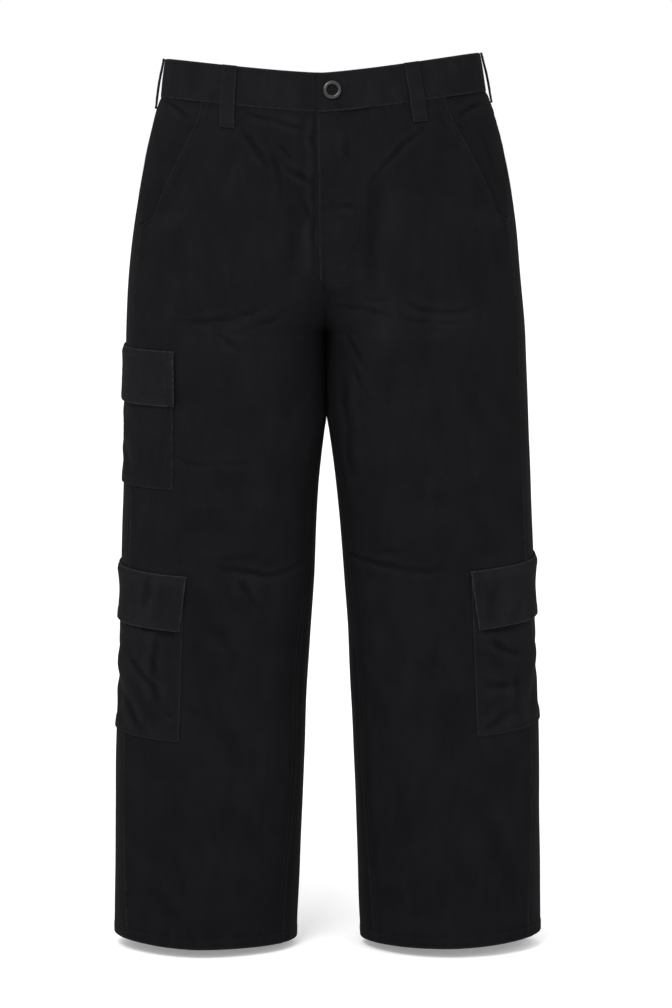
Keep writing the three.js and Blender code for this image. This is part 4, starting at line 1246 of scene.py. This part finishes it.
for side, back in backs.items():
    thread = thread_on(sided("back", side))
    for line in FELL_LINES:
        thread.line(back.down(line, True, SEAM_TOP - 4, HEM))
    thread.line(back.cross(HEM_LINE, False))
    if side > 0:
        for line in FELL_LINES:
            thread.line(back.down(line, False, SEAM_TOP, CROTCH))

thread = thread_on("waistband")
for from_top in (True, False):
    thread.line(band.cross(BAND_LINE, from_top, 2.5))
thread.line(band.down(BAND_END_LINE, True))

for name, loop in loops.items():
    thread = thread_on(name)
    for first in (True, False):
        thread.line(loop.down(LOOP_LINE, first))
    columns = loop.outer.shape[1]
    from_top = loop.along[0, 0] - loop.along[:, 0]
    order = np.arange(len(from_top))
    high = np.interp(5.0, from_top, order)
    low = np.interp(from_top[-1] - 4.0, from_top, order)
    tack_on(thread, loop, (high, high), (2.5, columns - 3.5))
    tack_on(thread, loop, (low, low), (1.5, columns - 2.5))

for pocket in POCKETS:
    name = pocket["name"]
    flap = flaps[name]
    for part, patch, ends in (("_bag", bags[name], [False]), ("_flap", flap, [False, True])):
        thread = thread_on(name + part)
        for inset in PATCH_LINES:
            for first in (True, False):
                thread.line(patch.down(inset, first))
            for from_top in ends:
                thread.line(patch.cross(inset, from_top, inset))
    columns = flap.outer.shape[1]
    for first, last in ((1, 9), (columns - 10, columns - 2)):
        tack_on(threads[name + "_flap"], flap, (4.5, 4.5), (first, last))

# Buttonhole: close stitches round a slot in the lap, by distance from the middle and height

SLOT_FROM = 7.0
SLOT_TO = 27.5
SLOT_LEVEL = 3.5
SLOT_EDGES = (1.3, 3.3)
EYE_EDGES = (2.0, 4.2)
EYE_SIZE = 2.2
STITCH_PITCH = 0.62


def on_lap(across, height):
    """Points and normals on the front of the lap."""
    levels = SLOT_LEVEL + height
    shares = 1 - across / ring_at(BAND_BOTTOM)["front_way"]
    ways = [share * ring_at(level)["front_way"] for share, level in zip(shares, levels)]
    return band.at(levels, ways)


straight = np.arange(SLOT_FROM, SLOT_TO - EYE_SIZE, STITCH_PITCH)
turn = np.linspace(-0.5 * np.pi, 0.5 * np.pi, 9)
ends = []
for slot_edge, eye_edge in zip(SLOT_EDGES, EYE_EDGES):
    across = np.concatenate([straight, straight, SLOT_TO - EYE_SIZE + eye_edge * np.cos(turn)])
    height = np.concatenate([np.full(straight.shape, slot_edge), np.full(straight.shape, -slot_edge),
                             eye_edge * np.sin(turn)])
    ends.append(on_lap(across, height))
(inner_points, slot_normals), (outer_points, _) = ends
reach = outer_points - inner_points
length = np.linalg.norm(reach, axis=-1, keepdims=True)
thread_on("waistband").add((inner_points + outer_points) / 2 + slot_normals * 0.1, reach / length,
                           slot_normals, 2.3, 0.72, 0.7)

for name, thread in threads.items():
    thread.item = thread.build()

# Button: turned disc with a thick rounded rim, four holes and crossed thread

BUTTON_TILT = 0.105
BUTTON_X = 10.0
BUTTON_LEVEL = 3.5
BUTTON_STAND = 0.85
BUTTON_PROFILE = [
    (0, 0), (8.2, 0), (8.9, 0.12), (9.4, 0.4), (9.75, 0.85), (9.95, 1.4), (10.0, 1.95), (9.85, 2.6),
    (9.5, 3.15), (9.0, 3.6), (8.4, 3.9), (7.7, 4.02), (7.0, 3.94), (6.4, 3.68), (5.9, 3.2), (5.6, 2.7),
    (5.35, 2.15), (5.05, 1.6), (4.7, 1.32), (3.0, 1.22), (1.5, 1.2), (0, 1.2),
]
HOLE_REACH = 2.1
HOLE_RADIUS = 1.0
SHANK_TURNS = 5
SHANK_STITCHES = 12
SHANK_RADIUS = 2.6

seat_way = np.array([ring_at(BUTTON_LEVEL)["front_way"] - BUTTON_X])
seat = row_points(1, BUTTON_LEVEL, seat_way, np.array([BAND_LAP_RAISE + BUTTON_STAND]))[0]
axis_out = np.array([0, -math.cos(BUTTON_TILT), math.sin(BUTTON_TILT)])
axis_up = np.array([0, math.sin(BUTTON_TILT), math.cos(BUTTON_TILT)])
axis_right = np.array([1.0, 0, 0])


def on_button(right, up, out):
    """Points by distance from the button's middle and height over its seat."""
    right, up, out = np.broadcast_arrays(right, up, out)
    return seat + right[..., None] * axis_right + up[..., None] * axis_up + out[..., None] * axis_out


def lathe(name, profile, sides, right=0.0, up=0.0):
    """Closed round body from a profile of radii and heights, at a place on the button."""
    angle = np.arange(sides) * 2 * np.pi / sides
    body = profile[1:-1]
    points = np.concatenate([on_button(right + radius * np.cos(angle), up + radius * np.sin(angle), height)
                             for radius, height in body])
    heights = np.array([profile[0][1], profile[-1][1]])
    ends = on_button(right, up, heights)
    mesh = bpy.data.meshes.new(name)
    count = len(points)
    faces = []
    for r in range(len(body) - 1):
        for k in range(sides):
            m = (k + 1) % sides
            faces.append((r * sides + k, r * sides + m, (r + 1) * sides + m, (r + 1) * sides + k))
    last = (len(body) - 1) * sides
    for k in range(sides):
        m = (k + 1) % sides
        faces.append((count, m, k))
        faces.append((count + 1, last + k, last + m))
    mesh.from_pydata((np.concatenate([points, ends]) * MM).tolist(), [], faces)
    mesh.update()
    item = bpy.data.objects.new(name, mesh)
    bpy.context.scene.collection.objects.link(item)
    return item


def face_outwards(item):
    """Turn the faces of a closed mesh outwards."""
    mesh = item.data
    mesh.calc_loop_triangles()
    co = np.array([v.co[:] for v in mesh.vertices])
    tri = np.array([t.vertices[:] for t in mesh.loop_triangles])
    volume = np.einsum("ij,ij->i", co[tri[:, 0]], np.cross(co[tri[:, 1]], co[tri[:, 2]])).sum()
    if volume < 0:
        mesh.flip_normals()


button = lathe("button_disc", BUTTON_PROFILE, 96)
face_outwards(button)
cutters = []
for right, up in ((1, 1), (1, -1), (-1, 1), (-1, -1)):
    cutter = lathe("cutter", [(0, -1), (HOLE_RADIUS, -1), (HOLE_RADIUS, 5), (0, 5)], 28,
                   right * HOLE_REACH, up * HOLE_REACH)
    face_outwards(cutter)
    cut = button.modifiers.new("hole", "BOOLEAN")
    cut.operation = "DIFFERENCE"
    cut.solver = "EXACT"
    cut.object = cutter
    cutters.append(cutter)
bpy.context.view_layer.update()
graph = bpy.context.evaluated_depsgraph_get()
drilled = bpy.data.meshes.new_from_object(button.evaluated_get(graph))
button.modifiers.clear()
old = button.data
button.data = drilled
bpy.data.meshes.remove(old)
for cutter in cutters:
    held = cutter.data
    bpy.data.objects.remove(cutter)
    bpy.data.meshes.remove(held)
drilled.polygons.foreach_set("use_smooth", np.ones(len(drilled.polygons), dtype=bool))
drilled.set_sharp_from_angle(angle=math.radians(42))
reach = np.array([v.co[:] for v in drilled.vertices]) / MM - seat
radius = np.hypot(reach @ axis_right, reach @ axis_up)
# Mask of the button's dish: the material paints the plastic darker there, as painted shade in the recess,
# and makes it rougher and less glossy
dish_painted_shade_layer = drilled.attributes.new("dish_painted_shade", "FLOAT", "POINT")
dish_painted_shade_layer.data.foreach_set("value", smooth(6.6, 5.0, radius).astype(np.float32))

button_thread = Thread("button_thread")
for offset in (-0.42, 0, 0.42):
    for a, b in (((-1, -1), (1, 1)), ((-1, 1), (1, -1))):
        start = np.array(a, dtype=float) * HOLE_REACH
        end = np.array(b, dtype=float) * HOLE_REACH
        run = (end - start) / np.linalg.norm(end - start)
        shift = np.array([-run[1], run[0]]) * offset
        middle = (start + end) / 2 + shift
        lift = 1.46 + (0.35 if a == (-1, 1) else 0.0)
        centre = on_button(middle[:1], middle[1:], lift)
        tangent = (run[0] * axis_right + run[1] * axis_up)[None]
        button_thread.add(centre, tangent, axis_out[None], 2 * HOLE_REACH * 1.41 + 1.0, 0.5, 0.5)
angle = np.arange(SHANK_STITCHES) * 2 * np.pi / SHANK_STITCHES
tangent = -np.sin(angle)[:, None] * axis_right + np.cos(angle)[:, None] * axis_up
normal = np.cos(angle)[:, None] * axis_right + np.sin(angle)[:, None] * axis_up
for k in range(SHANK_TURNS):
    centre = on_button(SHANK_RADIUS * np.cos(angle), SHANK_RADIUS * np.sin(angle), -0.75 + 0.17 * k)
    button_thread.add(centre, tangent, normal, 1.7, 0.4, 0.4)
button_thread.item = button_thread.build()


# Materials

RANGE_INPUTS = ("From Min", "From Max", "To Min", "To Max")


class Nodes:
    """A material and its nodes."""

    def __init__(self, name):
        self.material = bpy.data.materials.new(name)
        self.material.use_nodes = True
        self.tree = self.material.node_tree
        self.shader = next(n for n in self.tree.nodes if n.type == "BSDF_PRINCIPLED")

    def node(self, kind, **settings):
        item = self.tree.nodes.new(kind)
        for key, value in settings.items():
            setattr(item, key, value)
        return item

    def link(self, source, target):
        self.tree.links.new(source, target)

    def attribute(self, name):
        return self.node("ShaderNodeAttribute", attribute_name=name).outputs["Fac"]

    def place(self):
        return self.node("ShaderNodeTexCoord").outputs["Object"]

    def feed(self, **sources):
        """Link or set inputs of the shader, named with underscores for spaces."""
        for name, source in sources.items():
            target = self.shader.inputs[name.replace("_", " ")]
            if isinstance(source, (int, float, tuple)):
                target.default_value = source
            else:
                self.link(source, target)

    def math(self, operation, a, b=None):
        item = self.node("ShaderNodeMath", operation=operation)
        for slot_index, value in enumerate((a, b)):
            if value is None:
                continue
            if isinstance(value, (int, float)):
                item.inputs[slot_index].default_value = value
            else:
                self.link(value, item.inputs[slot_index])
        return item.outputs[0]

    def noise(self, vector, scale, detail=3.0, rough=0.55, distort=0.0):
        item = self.node("ShaderNodeTexNoise")
        item.inputs["Scale"].default_value = scale
        item.inputs["Detail"].default_value = detail
        item.inputs["Roughness"].default_value = rough
        item.inputs["Distortion"].default_value = distort
        self.link(vector, item.inputs["Vector"])
        return item.outputs["Fac"]

    def spread(self, value, low, high, to_low, to_high):
        item = self.node("ShaderNodeMapRange", interpolation_type="SMOOTHSTEP")
        self.link(value, item.inputs["Value"])
        for key, number in zip(RANGE_INPUTS, (low, high, to_low, to_high)):
            item.inputs[key].default_value = number
        return item.outputs["Result"]

    def stretch(self, vector, scale):
        item = self.node("ShaderNodeMapping")
        item.inputs["Scale"].default_value = scale
        self.link(vector, item.inputs["Vector"])
        return item.outputs["Vector"]

    def bump(self, height, strength, distance, under=None):
        item = self.node("ShaderNodeBump")
        item.inputs["Strength"].default_value = strength
        item.inputs["Distance"].default_value = distance
        self.link(height, item.inputs["Height"])
        if under is not None:
            self.link(under, item.inputs["Normal"])
        return item.outputs["Normal"]

    def colour(self, factor, under, over):
        """Mix of a colour, or what a node gives, with a colour over it."""
        item = self.node("ShaderNodeMix", data_type="RGBA")
        if isinstance(under, tuple):
            item.inputs["A"].default_value = (*under, 1)
        else:
            self.link(under, item.inputs["A"])
        item.inputs["B"].default_value = (*over, 1)
        self.link(factor, item.inputs["Factor"])
        return item.outputs["Result"]


CLOTH_DARK = (0.0052, 0.0053, 0.0060)
CLOTH_LIGHT = (0.0078, 0.0079, 0.0089)
CLOTH_WORN = (0.0190, 0.0190, 0.0200)
TWILL_PITCH = 0.00072


def twill_material():
    m = Nodes("black_twill")
    place = m.place()
    cut = m.node("ShaderNodeUVMap", uv_map="cut").outputs["UV"]
    parts = m.node("ShaderNodeSeparateXYZ")
    m.link(cut, parts.inputs[0])
    across, up = parts.outputs[0], parts.outputs[1]
    rate = 2 * math.pi / TWILL_PITCH
    waver = m.math("MULTIPLY", m.noise(place, 900, 2), 1.6)
    slant = m.math("ADD", across, m.math("MULTIPLY", up, 0.8))
    ribs = m.math("SINE", m.math("ADD", m.math("MULTIPLY", slant, rate * 0.78), waver))
    counter = m.math("SUBTRACT", up, m.math("MULTIPLY", across, 0.35))
    yarns = m.math("SINE", m.math("MULTIPLY", counter, rate * 1.6))
    weave = m.math("ADD", m.math("MULTIPLY", ribs, 0.7), m.math("MULTIPLY", yarns, 0.3))
    fuzz = m.noise(place, 2600, 2)
    blotch = m.noise(place, 22, 3, 0.6)
    patch = m.noise(m.stretch(place, (1, 1, 0.35)), 70, 4, 0.62, 0.6)
    speck = m.noise(place, 420, 3, 0.7)
    worn = m.attribute("wear")
    tone = m.math("ADD", m.math("MULTIPLY", blotch, 0.45), m.math("MULTIPLY", patch, 0.40))
    tone = m.math("ADD", tone, m.math("MULTIPLY", speck, 0.15))
    tone = m.spread(tone, 0.34, 0.68, 0.0, 1.0)
    tone = m.math("ADD", m.math("MULTIPLY", tone, 0.8), m.math("MULTIPLY", weave, 0.12))
    plain = m.colour(m.math("MAXIMUM", tone, 0.0), CLOTH_DARK, CLOTH_LIGHT)
    frayed = m.math("MULTIPLY", worn, m.spread(m.noise(place, 260, 4, 0.7), 0.38, 0.66, 0.15, 1.0))
    # Colour scaled by the relief: painted shade in hollows and creases, painted highlight on raised lips;
    # and scaled by each piece's painted light and shade
    height = m.attribute("relief")
    painted_shade = m.node("ShaderNodeVectorMath", operation="SCALE")
    m.link(m.colour(frayed, plain, CLOTH_WORN), painted_shade.inputs["Vector"])
    # Each piece's painted light and shade
    piece = m.attribute("painted_shade")
    m.link(m.math("MULTIPLY", m.spread(height, -0.8, 0.9, 0.72, 1.25), piece), painted_shade.inputs["Scale"])
    m.feed(Base_Color=painted_shade.outputs["Vector"], Roughness=m.spread(speck, 0.3, 0.7, 0.82, 0.95),
           Specular_IOR_Level=0.02, Sheen_Weight=0.004, Sheen_Roughness=0.45)
    rumple = m.bump(m.noise(place, 150, 4, 0.6, 0.3), 0.35, 0.0009)
    m.feed(Normal=m.bump(m.math("ADD", m.math("MULTIPLY", weave, 0.5), fuzz), 0.30, 0.00022, rumple))
    return m.material


def thread_material():
    m = Nodes("black_thread")
    place = m.place()
    strand = m.noise(place, 1900, 2, 0.6)
    m.feed(Base_Color=m.colour(strand, (0.0044, 0.0044, 0.0050), (0.0088, 0.0088, 0.0096)),
           Roughness=m.spread(strand, 0.3, 0.7, 0.48, 0.66), Specular_IOR_Level=0.05,
           Normal=m.bump(strand, 0.4, 0.0002))
    return m.material


def plastic_material():
    m = Nodes("black_plastic")
    place = m.place()
    smear = m.noise(place, 300, 4, 0.6)
    dish_painted_shade = m.attribute("dish_painted_shade")
    plain = m.colour(smear, (0.0034, 0.0034, 0.0037), (0.0066, 0.0066, 0.0072))
    polish = m.spread(smear, 0.3, 0.7, 0.15, 0.25)
    # Darker colour in the dish: painted shade in the recess
    m.feed(Base_Color=m.colour(dish_painted_shade, plain, (0.0008, 0.0008, 0.0009)),
           Roughness=m.math("ADD", polish, m.math("MULTIPLY", dish_painted_shade, 0.5)),
           Specular_IOR_Level=m.spread(dish_painted_shade, 0.0, 1.0, 0.46, 0.11),
           Normal=m.bump(m.noise(place, 1100, 3), 0.12, 0.0002))
    return m.material


def floor_material():
    m = Nodes("pale_floor")
    pale = m.colour(m.noise(m.place(), 0.8, 2), (0.93, 0.93, 0.93), (0.95, 0.95, 0.95))
    m.feed(Base_Color=pale, Roughness=0.9, Specular_IOR_Level=0.1,
           Emission_Color=(1, 1, 1, 1), Emission_Strength=0.24)
    return m.material


TWILL = twill_material()
THREAD = thread_material()
PLASTIC = plastic_material()


def dress(item, material, node=None):
    item.data.materials.clear()
    item.data.materials.append(material)
    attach(item, "root")
    if node:
        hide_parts(node)


def declare(cloth, node):
    dress(cloth.item, TWILL, node)


pieces = []
for side in (1, -1):
    for part, sides in (("front", fronts), ("back", backs), ("hip_facing", facings)):
        pieces.append((sided(part, side), sides[side]))
pieces.append(("waistband", band))
pieces += list(loops.items())
for pocket in POCKETS:
    for part, patches in (("_bag", bags), ("_flap", flaps)):
        pieces.append((pocket["name"] + part, patches[pocket["name"]]))

for name, thread in threads.items():
    dress(thread.item, THREAD)
for name, cloth in pieces:
    declare(cloth, name)

dress(button, PLASTIC, "button")
dress(button_thread.item, THREAD)

# Camera, light and floor

CAMERA_DIP = 6.167
camera_data = bpy.data.cameras.new("camera")
camera_data.lens = 117.56
camera_data.sensor_fit = "VERTICAL"
camera_data.sensor_height = 36
camera_data.clip_end = 200
camera = bpy.data.objects.new("camera", camera_data)
camera.location = (0.0115, -3.6, -0.077)
camera.rotation_euler = (math.radians(90 - CAMERA_DIP), 0, 0)
bpy.context.scene.collection.objects.link(camera)
bpy.context.scene.camera = camera

FLOOR_LEVEL = -0.9595
FLOOR_REACH = 60.0


def add_floor():
    mesh = bpy.data.meshes.new("floor")
    r = FLOOR_REACH
    corners = [(x, y, FLOOR_LEVEL) for x, y in ((-r, -r), (r, -r), (r, r), (-r, r))]
    mesh.from_pydata(corners, [], [(0, 1, 2, 3)])
    mesh.update()
    item = bpy.data.objects.new("floor", mesh)
    mesh.materials.append(floor_material())
    bpy.context.scene.collection.objects.link(item)


def add_light(name, place, target, size, power):
    data = bpy.data.lights.new(name, "AREA")
    data.shape = "RECTANGLE"
    data.size, data.size_y = size
    data.energy = power
    item = bpy.data.objects.new(name, data)
    item.location = place
    aim = np.array(target, dtype=float) - np.array(place, dtype=float)
    flat = math.hypot(aim[0], aim[1])
    item.rotation_euler = (math.atan2(flat, -aim[2]), 0, math.atan2(aim[1], aim[0]) - math.pi / 2)
    bpy.context.scene.collection.objects.link(item)


def add_world():
    world = bpy.data.worlds.new("studio")
    bpy.context.scene.world = world
    world.use_nodes = True
    tree = world.node_tree
    tree.nodes.clear()
    out = tree.nodes.new("ShaderNodeOutputWorld")
    seen = tree.nodes.new("ShaderNodeBackground")
    seen.inputs["Color"].default_value = (1, 1, 1, 1)
    seen.inputs["Strength"].default_value = 1.0
    glow = tree.nodes.new("ShaderNodeBackground")
    glow.inputs["Color"].default_value = (1, 1, 1, 1)
    direction = tree.nodes.new("ShaderNodeTexCoord")
    toward = tree.nodes.new("ShaderNodeVectorMath")
    toward.operation = "DOT_PRODUCT"
    toward.inputs[1].default_value = (-0.08, -0.50, 0.86)
    tree.links.new(direction.outputs["Generated"], toward.inputs[0])
    brightness = tree.nodes.new("ShaderNodeMapRange")
    brightness.interpolation_type = "SMOOTHSTEP"
    for key, number in zip(RANGE_INPUTS, (-0.6, 1.0, 0.16, 1.30)):
        brightness.inputs[key].default_value = number
    tree.links.new(toward.outputs["Value"], brightness.inputs["Value"])
    tree.links.new(brightness.outputs["Result"], glow.inputs["Strength"])
    path = tree.nodes.new("ShaderNodeLightPath")
    mix = tree.nodes.new("ShaderNodeMixShader")
    tree.links.new(path.outputs["Is Camera Ray"], mix.inputs["Fac"])
    tree.links.new(glow.outputs[0], mix.inputs[1])
    tree.links.new(seen.outputs[0], mix.inputs[2])
    tree.links.new(mix.outputs[0], out.inputs["Surface"])


add_floor()
add_world()
add_light("key", place=(-0.72, -1.75, 1.15), target=(0, 0, -0.05), size=(1.0, 0.8), power=33)
add_light("fill", place=(1.7, -2.2, 0.45), target=(0, 0, -0.2), size=(1.4, 1.4), power=12)
bpy.context.scene.view_settings.view_transform = "Standard"
